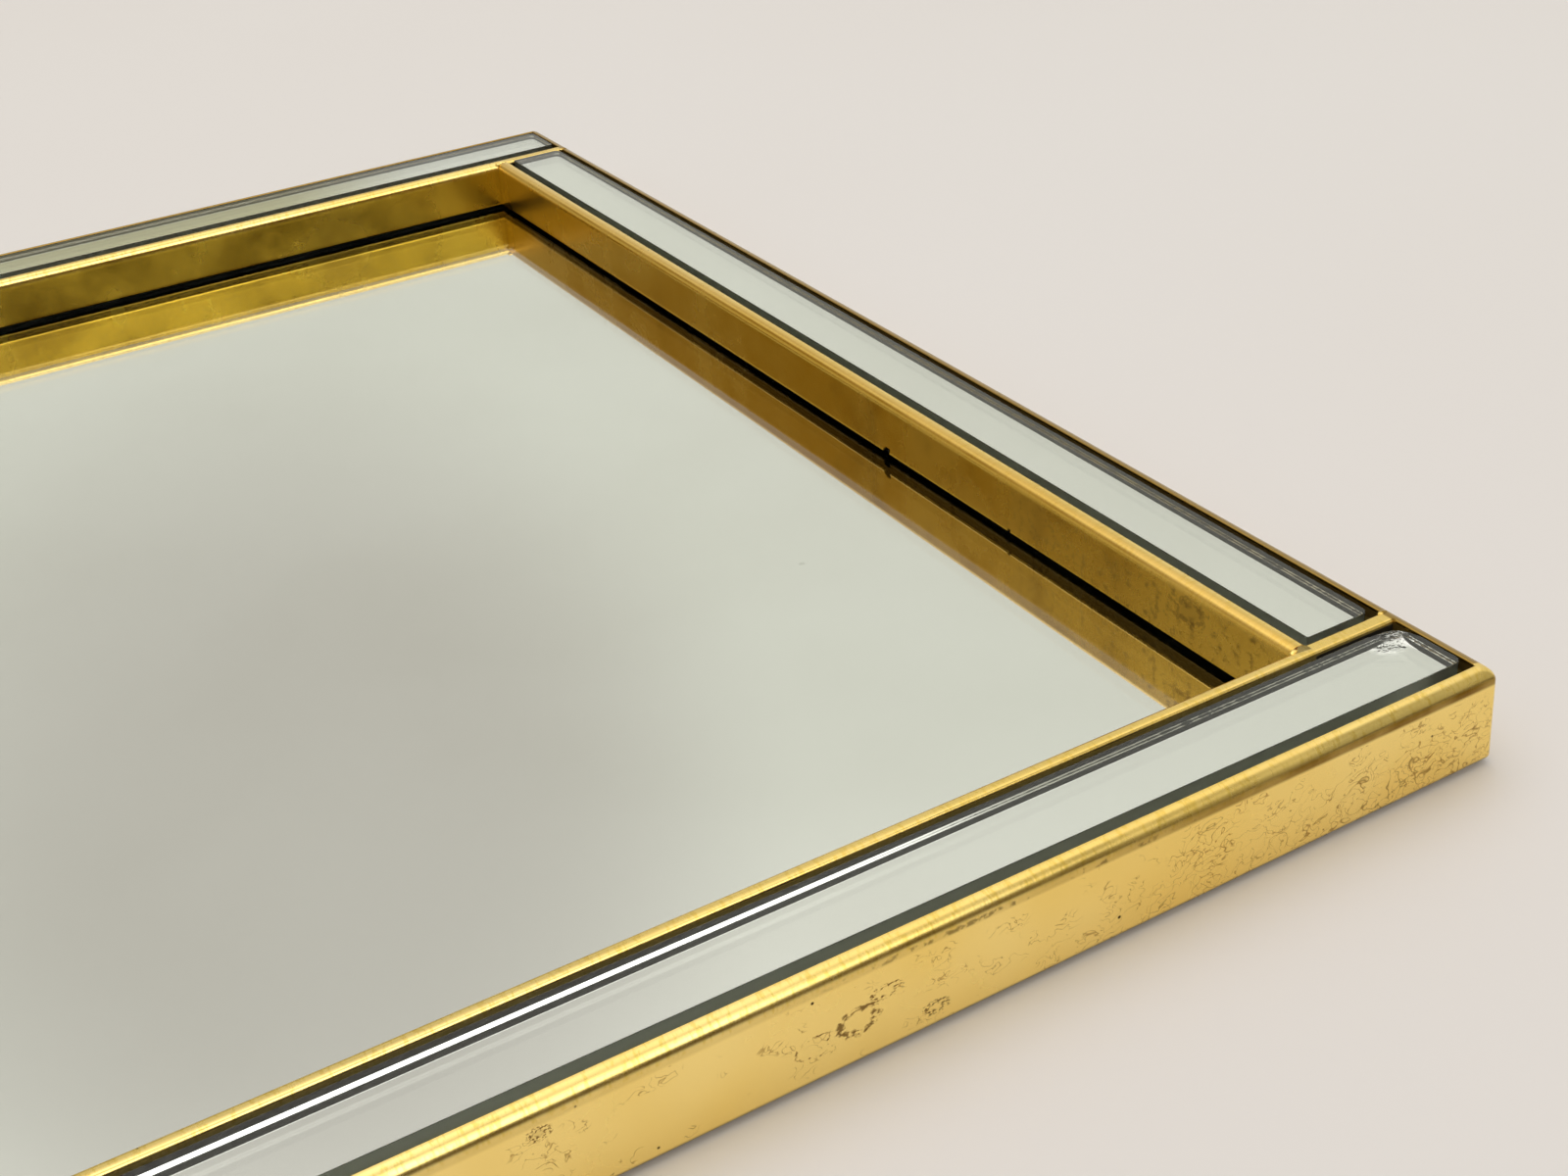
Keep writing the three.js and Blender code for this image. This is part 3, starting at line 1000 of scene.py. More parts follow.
@dataclass(frozen=True)
class PlainFinish:
    """A matt finish of two colours in a soft grain, for mastic, hardboard, zinc and felt, and for painted
    shade on glass edges.
    """

    name: str
    light: Colour
    dark: Colour
    scale: float
    roughness: float = 0.8
    rough_spread: float = 0.08
    metallic: float = 0.0
    relief: float = 0.2 * MM
    sheen: float = 0.0

    def build(self, effects: Effects) -> bpy.types.Material:
        """Builds the material.

        Args:
            effects: The shared wear patterns.

        Returns:
            The finished material.
        """
        material, g, shader, where = new_material(self.name)
        grain = g.noise(where, self.scale, 5.0, 0.65)
        cloud = g.group(effects.cloud, Vector=where, Scale=self.scale / 12.0, Level=0.5).outputs["Mask"]
        share = g.math("ADD", g.ramp(grain, 0.3, 0.7, 0.0, 0.8), g.product(cloud, 0.2))
        g.feed(shader.inputs["Base Color"], g.mix(share, self.dark, self.light))
        shader.inputs["Metallic"].default_value = self.metallic
        shader.inputs["Sheen Weight"].default_value = self.sheen
        smoothest, roughest = self.roughness - self.rough_spread, self.roughness + self.rough_spread
        g.feed(shader.inputs["Roughness"], g.ramp(grain, 0.2, 0.8, smoothest, roughest))
        g.bump(shader, grain, 0.6, self.relief)
        return material


@dataclass(frozen=True)
class WoodFinish:
    """Planed softwood, with rebates painted black so that they don't show above the mirror."""

    name: str
    along_x: bool
    early: Colour = rgb(0.52, 0.34, 0.17)
    late: Colour = rgb(0.30, 0.165, 0.07)
    black: Colour = rgb(0.004, 0.004, 0.004)
    rebate_half_width: float = 133.1 * MM
    rebate_half_depth: float = 183.1 * MM
    relief: float = 0.1 * MM

    def build(self, effects: Effects) -> bpy.types.Material:
        """Builds the material.

        Args:
            effects: The shared wear patterns, which bare wood has no use for.

        Returns:
            The finished material.
        """
        material, g, shader, where = new_material(self.name)
        x, y, _ = g.split(where)
        shader.inputs["Specular IOR Level"].default_value = 0.0
        grained = g.scaled(where, (0.05, 1.0, 1.0) if self.along_x else (1.0, 0.05, 1.0))
        rings = g.noise(grained, 320.0, 3.0, 0.55, 0.4)
        fibre = g.noise(grained, 1800.0, 2.0, 0.6)
        streaks = g.product(g.math("SUBTRACT", fibre, 0.5), 0.5)
        share = g.math("ADD", g.ramp(rings, 0.35, 0.62), streaks, clamp=True)
        inside_x = g.math("LESS_THAN", g.math("ABSOLUTE", x), self.rebate_half_width)
        inside_y = g.math("LESS_THAN", g.math("ABSOLUTE", y), self.rebate_half_depth)
        colour = g.mix(share, self.early, self.late)
        g.feed(shader.inputs["Base Color"], g.mix(g.product(inside_x, inside_y), colour, self.black))
        g.feed(shader.inputs["Roughness"], g.ramp(fibre, 0.2, 0.8, 0.62, 0.85))
        g.bump(shader, g.math("ADD", rings, fibre), 0.5, self.relief)
        return material


FACE_MARKS = (
    Mark((0.0155, -0.2, 0.0092), (0.0033, 0.04, 0.0023), 0.30, 0.43, 0.0),
    Mark((0.0205, -0.2, 0.0125), (0.0024, 0.04, 0.0011), 0.45, 0.49, 0.0),
    Mark((0.0295, -0.2, 0.0048), (0.0018, 0.04, 0.0010), 0.55, 0.46, 0.0),
    Mark((0.0075, -0.2, 0.0080), (0.0030, 0.04, 0.0020), 0.14, 0.50, 0.0),
    Mark((-0.0365, -0.2, 0.0160), (0.0013, 0.04, 0.0009), 0.7, 0.47, 0.2),
)
WALL_MARKS = (Mark((0.1246, -0.148, 0.0158), (0.01, 0.0034, 0.0024), 0.30, 0.38, 0.5, 0.5),)


class Finishes:
    """Every material of the tray, built once."""

    def __init__(self) -> None:
        """Builds the materials."""
        effects = Effects()
        self.brass = {
            True: BrassFinish("brass_through_rail", True, FACE_MARKS).build(effects),
            False: BrassFinish("brass_side_rail", False, WALL_MARKS).build(effects),
        }
        self.wood = {
            True: WoodFinish("core_wood_through", True).build(effects),
            False: WoodFinish("core_wood_side", False).build(effects),
        }
        self.glass = GlassFinish().build(effects)
        self.ground_edge = GlassFinish(
            "ground_glass_edge", rough=(0.75, 0.9), tint=rgb(0.62, 0.64, 0.52), smooth_below=18.4 * MM,
        ).build(effects)
        self.silver = SilverFinish().build(effects)
        # Black bedding for the strips, and also the painted shade on the mirror plate's edges.
        self.mastic = PlainFinish(
            "black_mastic_and_edge_shade", rgb(0.012, 0.011, 0.010), rgb(0.004, 0.004, 0.004), 900.0, roughness=0.55,
        ).build(effects)
        # Painted shade: a dark opaque finish on the upper part of the glass strips' far sides.
        self.far_edge_shade = PlainFinish(
            "glass_edge_painted_shade", rgb(0.034, 0.026, 0.012), rgb(0.014, 0.010, 0.005), 700.0, roughness=0.6,
        ).build(effects)
        self.hardboard = PlainFinish(
            "hardboard", rgb(0.27, 0.15, 0.075), rgb(0.13, 0.066, 0.03), 1400.0, roughness=0.75,
        ).build(effects)
        self.zinc = PlainFinish(
            "zinc_plate", rgb(0.60, 0.60, 0.61), rgb(0.36, 0.35, 0.34), 260.0,
            roughness=0.38, metallic=1.0, relief=0.02 * MM,
        ).build(effects)
        self.felt = PlainFinish(
            "pressed_felt", rgb(0.055, 0.10, 0.07), rgb(0.022, 0.045, 0.03), 2600.0,
            roughness=0.9, relief=0.15 * MM, sheen=0.4,
        ).build(effects)


# ---------------------------------------------------------------- the brass rails


@dataclass
class RailCasing:
    """The folded sheet-brass skin of one rail, made lying along X with its outer face at y = 0."""

    side: Side
    length: float
    width: float
    low: float
    top: float
    place: Matrix
    sheet: float = 0.5 * MM
    roll: float = 2.7 * MM
    foot: float = 1.1 * MM
    lip: float = 2.0 * MM
    outer_rim: float = 0.28 * MM
    inner_rim: float = 0.8 * MM
    channel_near: float = 3.0 * MM
    channel_far: float = 22.1 * MM
    side_channel_far: float = 21.6 * MM
    channel_floor: float = 16.6 * MM
    wall_foot: float = 8.05 * MM
    flange: float = 6.5 * MM
    flare: float = 0.15 * MM
    splay: float = 1.3 * MM
    well_half: float = 124.6 * MM
    crease_gap: float = 0.08 * MM
    flare_height: float = 0.45 * MM
    notches: tuple[Triple, ...] = (
        (-43.3 * MM, 1.3 * MM, 1.25 * MM),
        (-90.7 * MM, 0.5 * MM, 0.5 * MM),
    )

    def build(self) -> Mesh:
        """Makes the skin.

        Returns:
            The open skin in the tray's frame. Its thickness is given later.
        """
        end = self.length / 2
        bm = block(Vector((-end, 0.0, self.low)), Vector((end, self.width, self.top)))
        self.cut_bands(bm)
        self.sink_channel(bm)
        self.open_back(bm)
        self.round_skin(bm)
        self.flare_foot(bm)
        self.nick(bm)
        self.splay_ends(bm)
        bmesh.ops.remove_doubles(bm, verts=bm.verts, dist=0.5 * TOUCH)
        bmesh.ops.transform(bm, matrix=self.place, verts=bm.verts)
        return bm

    def cut_bands(self, bm: Mesh) -> None:
        """Cuts the block where the channel, the flange and the well begin.

        Args:
            bm: The rail's block.
        """
        for y in (self.channel_near, self.channel_far, self.flange):
            flat = pick(bm.faces, lambda c: near(c.z, self.top if y != self.flange else self.low))
            cut(bm, y * ACROSS, ACROSS, flat)
        if not self.side.through:
            return
        end = self.length / 2
        for sign in (-1, 1):
            top = pick(bm.faces, lambda c: near(c.z, self.top))
            cut(bm, sign * (end - self.channel_near) * ALONG, ALONG, top)
            bottom = pick(bm.faces, lambda c: near(c.z, self.low))
            cut(bm, sign * (end - self.flange) * ALONG, ALONG, bottom)
            for reach in (self.well_half, end - self.side_channel_far, end - self.channel_near):
                lip = pick(bm.faces, lambda c: c.y > self.channel_far - TOUCH and c.z > self.low + TOUCH)
                inner = pick(bm.faces, lambda c: near(c.y, self.width))
                cut(bm, sign * reach * ALONG, ALONG, list(set(lip + inner)))

    def sink_channel(self, bm: Mesh) -> None:
        """Pushes the floor of the channel down between the lips.

        Args:
            bm: The rail's mesh.
        """
        end = self.length / 2 - (self.channel_near if self.side.through else 0.0)
        floor = pick(
            bm.faces,
            lambda c: near(c.z, self.top)
            and self.channel_near - TOUCH < c.y < self.channel_far + TOUCH
            and abs(c.x) < end + TOUCH,
        )
        extrude(bm, floor, (0, 0, self.channel_floor - self.top))
        old = [f for f in floor if f.is_valid]
        bmesh.ops.delete(bm, geom=old, context="FACES_ONLY")

    def open_back(self, bm: Mesh) -> None:
        """Opens the underside and the foot of the inner wall, and the ends of a side rail.

        Args:
            bm: The rail's mesh.
        """
        end = self.length / 2
        inner = pick(bm.faces, lambda c: near(c.y, self.width))
        cut(bm, self.wall_foot * UP, UP, inner)
        gone = pick(bm.faces, lambda c: near(c.y, self.width) and c.z < self.wall_foot + TOUCH)
        open_to = end - self.flange if self.side.through else end
        gone += pick(
            bm.faces,
            lambda c: near(c.z, self.low) and c.y > self.flange - TOUCH and abs(c.x) < open_to + TOUCH,
        )
        if not self.side.through:
            gone += pick(bm.faces, lambda c: near(c.x, end))
            gone += pick(bm.faces, lambda c: near(c.x, -end))
        bmesh.ops.delete(bm, geom=list(set(gone)), context="FACES")

    def round_skin(self, bm: Mesh) -> None:
        """Rounds the rolled outer edge, the foot, the lips and the rims of the channel.

        Args:
            bm: The rail's skin.
        """
        end = self.length / 2
        rim_end = end - self.channel_near
        roll = pick(bm.edges, lambda c: near(c.z, self.top) and near(c.y, 0.0))
        for sign in (-1, 1) if self.side.through else ():
            roll += pick(bm.edges, lambda c: near(c.z, self.top) and near(sign * c.x, end))
        round_edges(bm, list(set(roll)), self.roll, 12)
        crease_top = self.top - self.crease_gap
        foot = folded(pick(bm.edges, lambda c: near(c.z, self.low)))
        for sign in (-1, 1) if self.side.through else ():
            foot += pick(bm.edges, lambda c: near(end - sign * c.x, c.y) and c.z < crease_top)
        round_edges(bm, list(set(foot)), self.foot, 5)

        lip = pick(
            bm.edges,
            lambda c: near(c.z, self.top) and near(c.y, self.width)
            and (not self.side.through or abs(c.x) < self.well_half + TOUCH),
        )
        round_edges(bm, lip, self.lip, 7)
        for sign in (-1, 1) if self.side.through else ():
            ledge = pick(
                bm.edges,
                lambda c: near(c.z, self.top) and near(c.y, self.width)
                and end - self.side_channel_far - TOUCH < sign * c.x < rim_end + TOUCH,
            )
            round_edges(bm, ledge, self.inner_rim, 4)

        inner_rim = pick(
            bm.edges,
            lambda c: near(c.z, self.top) and near(c.y, self.channel_far) and abs(c.x) < end + TOUCH,
        )
        if self.side.through:
            inner_rim = [e for e in inner_rim if all(abs(v.co.x) < rim_end + TOUCH for v in e.verts)]
        round_edges(bm, inner_rim, self.inner_rim, 4)

        outer_rim = pick(bm.edges, lambda c: near(c.z, self.top) and near(c.y, self.channel_near))
        for sign in (-1, 1) if self.side.through else ():
            outer_rim += pick(
                bm.edges,
                lambda c: near(c.z, self.top) and near(sign * c.x, rim_end)
                and c.y < self.channel_far + TOUCH,
            )
        round_edges(bm, list(set(outer_rim)), self.outer_rim, 3)

    def flare_foot(self, bm: Mesh) -> None:
        """Bends the cut edge of the inner wall a little into the well, where it catches the light.

        Args:
            bm: The rail's skin.
        """
        wall = pick(bm.faces, lambda c: near(c.y, self.width))
        cut(bm, (self.wall_foot + self.flare_height) * UP, UP, wall)
        edge = [v for v in bm.verts if near(v.co.y, self.width) and near(v.co.z, self.wall_foot)]
        bmesh.ops.translate(bm, vec=(0, self.flare, 0), verts=edge)

    def splay_ends(self, bm: Mesh) -> None:
        """Leans the closed ends out a little towards the foot, as the folded tabs have sprung.

        Args:
            bm: The rail's skin.
        """
        if not self.side.through:
            return
        end = self.length / 2
        for vert in bm.verts:
            sign = 1 if vert.co.x > 0 else -1
            lean = self.splay if self.side is Side.FRONT and sign > 0 else 0.3 * self.splay
            share = max(0.0, (abs(vert.co.x) - end + self.flange) / self.flange)
            drop = max(0.0, self.top - self.roll - vert.co.z) / (self.top - self.roll - self.low)
            vert.co.x += sign * lean * min(1.0, share) * drop

    def nick(self, bm: Mesh) -> None:
        """Cuts the notch and the nick out of the foot of the right rail's inner wall.

        Args:
            bm: The rail's skin.
        """
        if self.side is not Side.RIGHT:
            return
        for middle, half, high in self.notches:
            for edge in (middle - half, middle + half):
                cut(bm, edge * ALONG, ALONG, pick(bm.faces, self.on_wall))
            height = self.wall_foot + high
            band = [f for f in pick(bm.faces, self.on_wall) if self.spans(f, middle, half)]
            cut(bm, height * UP, UP, band)
            below = pick(bm.faces, lambda c: c.y > self.width - TOUCH and c.z < height + TOUCH)
            gone = [f for f in below if self.spans(f, middle, half)]
            bmesh.ops.delete(bm, geom=gone, context="FACES")
            corner = [v for v in bm.verts if near(v.co.z, height) and near(v.co.x, middle + half)]
            bmesh.ops.translate(bm, vec=(-0.8 * half, 0, 0), verts=corner)

    def on_wall(self, place: Vector) -> bool:
        """Whether a place lies on the upright part of the inner wall."""
        return place.y > self.width - TOUCH and place.z < self.top - self.lip + TOUCH

    def spans(self, face: bmesh.types.BMFace, middle: float, half: float) -> bool:
        """Whether a face lies within half a width of a place along the rail."""
        return all(abs(v.co.x - middle) < half + TOUCH for v in face.verts)


@dataclass
class SolderBead:
    """A small smooth lump of solder."""

    place: Vector
    half: Vector
    seed: int
    lumps: float = 0.22
    lump_scale: float = 1.3
    seed_step: float = 3.7

    def build(self) -> Mesh:
        """Makes the bead.

        Returns:
            The bead, in the tray's frame.
        """
        bm = bmesh.new()
        bmesh.ops.create_icosphere(bm, subdivisions=3, radius=1.0)
        for vert in bm.verts:
            place = vert.co * self.lump_scale + self.seed * self.seed_step * ALONG
            swell = 1.0 + self.lumps * noise.noise(place)
            vert.co = self.place + Vector(c * h * swell for c, h in zip(vert.co, self.half))
        return bm


# ---------------------------------------------------------------- the mirror strips


@dataclass
class MirrorStrip:
    """One inlaid strip: glass with ground edges, and its silvering with a ragged edge."""

    side: Side
    glass_lo: Vector
    glass_hi: Vector
    silver_lo: Vector
    silver_hi: Vector
    corner: float = 1.7 * MM
    inner_corner: float = 0.4 * MM
    arris: float = 0.15 * MM
    ragged: float = 0.42 * MM
    step: float = 0.5 * MM
    longer: float = 0.95 * MM
    # Height above which the strips' far sides carry painted shade.
    shade_above: float = 18.45 * MM
    sound_to: float = 40.0 * MM
    wear_grows: float = 60.0 * MM
    on_edge: float = 0.01 * MM
    creep: float = 0.12 * MM
    breaks: tuple[Triple, ...] = (
        (9.0, 1.1, 0.8), (6.6, 1.9, 0.9), (5.2, 1.6, 1.7), (4.3, 2.9, 1.2), (3.4, 3.0, 2.3),
        (2.8, 4.2, 1.5), (2.0, 5.6, 1.1), (1.5, 4.0, 2.2), (7.4, 2.3, 0.75), (2.4, 3.1, 3.0),
    )

    def __post_init__(self) -> None:
        """Lengthens the strip a little, so that it nearly fills its channel."""
        grow = Vector((self.longer, 0, 0)) if self.side.through else Vector((0, self.longer, 0))
        self.glass_lo, self.glass_hi = self.glass_lo - grow, self.glass_hi + grow
        self.silver_lo, self.silver_hi = self.silver_lo - grow, self.silver_hi + grow

    def glass(self) -> Mesh:
        """Makes the glass slab, with a chipped corner on the front strip.

        Returns:
            The slab, in the tray's frame.
        """
        bm = block(self.glass_lo, self.glass_hi)
        outer = [e for e in upright(bm) if self.is_outer(e.verts[0].co)]
        inner = [e for e in upright(bm) if not self.is_outer(e.verts[0].co)]
        round_edges(bm, outer, self.corner, 6)
        round_edges(bm, inner, self.inner_corner, 3)
        rim = pick(bm.edges, lambda c: near(c.z, self.glass_hi.z))
        round_edges(bm, folded(rim), self.arris, 2)
        # Cut where the painted shade on the far sides begins.
        cut(bm, self.shade_above * UP, UP)
        if self.side is Side.FRONT:
            self.chip(bm)
        return bm

    def wall_of(self, face: bpy.types.MeshPolygon) -> int:
        """Which finish a face of the glass has: 0 polished, 1 ground, 2 a dark painted shade on the upper
        sides facing +x or +y.

        Args:
            face: A face of the finished slab.

        Returns:
            The finish's place in the slab's list of materials.
        """
        if abs(face.normal.z) >= 0.3:
            return 0
        far_shaded = max(face.normal.x, face.normal.y) > 0.5 and face.center.z > self.shade_above
        return 2 if far_shaded else 1

    def is_outer(self, place: Vector) -> bool:
        """Whether a corner of the strip is one of the two towards the tray's outside.

        Args:
            place: The corner.

        Returns:
            True for an outer corner.
        """
        if self.side.through:
            return abs(place.y) > abs(self.glass_lo.y + self.glass_hi.y) / 2
        return abs(place.x) > abs(self.glass_lo.x + self.glass_hi.x) / 2

    def chip(self, bm: Mesh) -> None:
        """Breaks small shells out of the top of the back right corner.

        Args:
            bm: The slab.
        """
        corner = Vector(self.glass_hi)
        for reach in self.breaks:
            normal = Vector((1 / reach[0], 1 / reach[1], 1 / reach[2])).normalized()
            place = corner - Vector((reach[0] * MM, 0.0, 0.0))
            made = bmesh.ops.bisect_plane(
                bm, geom=bm.verts[:] + bm.edges[:] + bm.faces[:], plane_co=place, plane_no=normal,
                dist=CUT_SLACK, clear_outer=True,
            )["geom_cut"]
            rim = [e for e in made if isinstance(e, bmesh.types.BMEdge)]
            bmesh.ops.contextual_create(bm, geom=rim)
        bmesh.ops.recalc_face_normals(bm, faces=bm.faces)

    def silver(self) -> Mesh:
        """Makes the silvering, ragged along its back and right edges where it has flaked.

        Returns:
            The silvering, in the tray's frame.
        """
        size = self.silver_hi - self.silver_lo
        middle = (self.silver_hi + self.silver_lo) / 2
        middle.z = self.silver_hi.z
        bm = bmesh.new()
        bmesh.ops.create_grid(
            bm,
            x_segments=max(4, round(size.x / self.step)),
            y_segments=max(4, round(size.y / self.step)),
            size=0.5,
            matrix=Matrix.LocRotScale(middle, None, Vector((size.x, size.y, 1))),
        )
        self.round_corners(bm)
        for vert in [v for v in bm.verts if v.is_boundary]:
            self.flake(vert)
        extrude(bm, bm.faces[:], (0, 0, -size.z))
        bmesh.ops.recalc_face_normals(bm, faces=bm.faces)
        return bm

    def round_corners(self, bm: Mesh) -> None:
        """Draws the grid's corners in to the glass's round corners.

        Args:
            bm: The silvering's grid.
        """
        lo, hi = self.silver_lo, self.silver_hi
        corners = ((-1, -1, lo.x, lo.y), (-1, 1, lo.x, hi.y), (1, -1, hi.x, lo.y), (1, 1, hi.x, hi.y))
        for vert in bm.verts:
            for sign_x, sign_y, x, y in corners:
                radius = self.corner if self.is_outer(Vector((x, y, 0.0))) else self.inner_corner
                centre = Vector((x - sign_x * radius, y - sign_y * radius))
                away = Vector((vert.co.x, vert.co.y)) - centre
                if away.x * sign_x > 0 and away.y * sign_y > 0:
                    square = max(abs(away.x), abs(away.y))
                    away = away.normalized() * square
                    vert.co.x, vert.co.y = centre.x + away.x, centre.y + away.y

    def flake(self, vert: bmesh.types.BMVert) -> None:
        """Draws one edge vertex in where the silver has come away.

        Args:
            vert: A vertex on the grid's edge.
        """
        middle = (self.silver_hi + self.silver_lo) / 2
        from_back = self.silver_hi.y - vert.co.y
        from_right = self.silver_hi.x - vert.co.x
        place = vert.co * 1400.0
        rough = abs(noise.noise(place)) + 0.5 * abs(noise.noise(place * 2.7))
        worn = min(1.0, max(0.0, (vert.co.x - self.sound_to) / self.wear_grows))
        depth = self.ragged * (0.25 + 1.2 * rough) * (0.12 + 0.88 * worn)
        if from_back < self.on_edge:
            vert.co.y -= depth
        elif from_right < self.on_edge:
            vert.co.x -= depth
        else:
            vert.co += (middle - vert.co).normalized() * self.creep * rough


# ---------------------------------------------------------------- pads, pins and screws


@dataclass
class FeltPad:
    """A strip of pressed felt with a soft, hairy edge."""

    lo: Vector
    hi: Vector
    corner: float = 3.4 * MM
    edge: float = 0.3 * MM
    longest: float = 1.5 * MM
    fuzz: float = 0.05 * MM

    def build(self) -> Mesh:
        """Makes the pad.

        Returns:
            The pad, in the tray's frame.
        """
        bm = block(self.lo, self.hi)
        round_edges(bm, upright(bm), self.corner, 8)
        flat = [e for e in folded(bm.edges) if near(e.verts[0].co.z, e.verts[1].co.z)]
        round_edges(bm, flat, self.edge, 3)
        bmesh.ops.triangulate(bm, faces=bm.faces[:])
        long_edges = [e for e in bm.edges if e.calc_length() > self.longest]
        bmesh.ops.subdivide_edges(bm, edges=long_edges, cuts=5, use_grid_fill=True)
        bmesh.ops.triangulate(bm, faces=bm.faces[:])
        middle = (self.lo + self.hi) / 2
        for vert in bm.verts:
            push = noise.noise(vert.co * 2200.0) * self.fuzz
            inwards = (middle - vert.co).normalized()
            vert.co += inwards * abs(push)
        return bm


@dataclass
class TurnedFixing:
    """A pin or screw turned from its profile, head down."""

    lo: Vector
    hi: Vector
    profile: tuple[Span, ...]
    steps: int
    slot: float = 0.0
    slot_depth: float = 0.55 * MM
    turn: float = 0.0

    def build(self) -> Mesh:
        """Makes the fixing and cuts the slot of a screw.

        Returns:
            The fixing, in the tray's frame.
        """
        bm = bmesh.new()
        centre = (self.lo + self.hi) / 2
        high = self.hi.z - self.lo.z
        verts = [bm.verts.new((r, 0.0, self.lo.z + share * high)) for r, share in self.profile]
        edges = [bm.edges.new(pair) for pair in zip(verts, verts[1:])]
        bmesh.ops.spin(
            bm, geom=verts + edges, cent=(0, 0, 0), axis=(0, 0, 1), angle=math.tau,
            steps=self.steps, use_merge=True,
        )
        bmesh.ops.remove_doubles(bm, verts=bm.verts, dist=TOUCH)
        bmesh.ops.recalc_face_normals(bm, faces=bm.faces)
        if self.slot:
            self.cut_slot(bm)
        place = Matrix.Translation((centre.x, centre.y, 0.0)) @ Matrix.Rotation(self.turn, 4, "Z")
        bmesh.ops.transform(bm, matrix=place, verts=bm.verts)
        return bm

    def cut_slot(self, bm: Mesh) -> None:
        """Sinks the screwdriver slot across the flat of the head.

        Args:
            bm: The screw, still on the origin's axis.
        """
        head = pick(bm.faces, lambda c: near(c.z, self.lo.z))
        bmesh.ops.dissolve_faces(bm, faces=head)
        for edge in (-self.slot, self.slot):
            cut(bm, edge * ACROSS, ACROSS, pick(bm.faces, lambda c: near(c.z, self.lo.z)))
        band = pick(bm.faces, lambda c: near(c.z, self.lo.z) and abs(c.y) < self.slot + TOUCH)
        extrude(bm, band, (0, 0, self.slot_depth))
        for face in [f for f in band if f.is_valid]:
            bm.faces.remove(face)


def screw_profile(head: float, shank: float) -> tuple:
    """The outline of a countersunk screw: (radius, share of height) from the head's flat to its tip.

    Args:
        head: The head's radius.
        shank: The shank's radius.

    Returns:
        The outline's points.
    """
    steps = [(0.0, 0.0), (head - 0.1 * MM, 0.0), (head, 0.012), (shank, 0.12), (shank, 0.30)]
    turns = 9
    for i in range(turns):
        share = 0.32 + i * 0.055
        whole = i < turns - 2
        root = shank * (0.72 if whole else 0.5)
        crest = shank * (1.0 if whole else 0.8)
        steps += [(root, share), (crest, share + 0.018), (root, share + 0.036)]
    return tuple(steps + [(shank * 0.35, 0.93), (0.0, 1.0)])


def pin_profile(head: float, shank: float) -> tuple:
    """The outline of a flat-headed pin: (radius, share of its height) from the head to the point.

    Args:
        head: The head's radius.
        shank: The shank's radius.

    Returns:
        The outline's points.
    """
    return (
        (0.0, 0.0), (head * 0.75, 0.004), (head, 0.022), (head, 0.036),
        (head * 0.9, 0.045), (shank, 0.047), (shank, 0.88), (0.0, 1.0),
    )


# ---------------------------------------------------------------- stage


@dataclass(frozen=True)
class Patch:
    """A soft round patch of the room: where it lies, its full and outer angles in degrees, its colour."""

    towards: Triple
    full: float
    gone: float
    colour: Colour
    share: float = 1.0

    def seen(self, g: Graph, ray: Socket) -> Socket:
        """How much of the patch a ray sees.

        Args:
            g: The world's graph.
            ray: The ray's direction.

        Returns:
            The patch's share, from nothing past its outer angle.
        """
        node = g.add("ShaderNodeVectorMath", operation="DOT_PRODUCT")
        g.feed(node.inputs[0], ray)
        node.inputs[1].default_value = Vector(self.towards).normalized()
        outer, inner = math.cos(math.radians(self.gone)), math.cos(math.radians(self.full))
        return g.product(g.ramp(node.outputs["Value"], outer, inner), self.share)


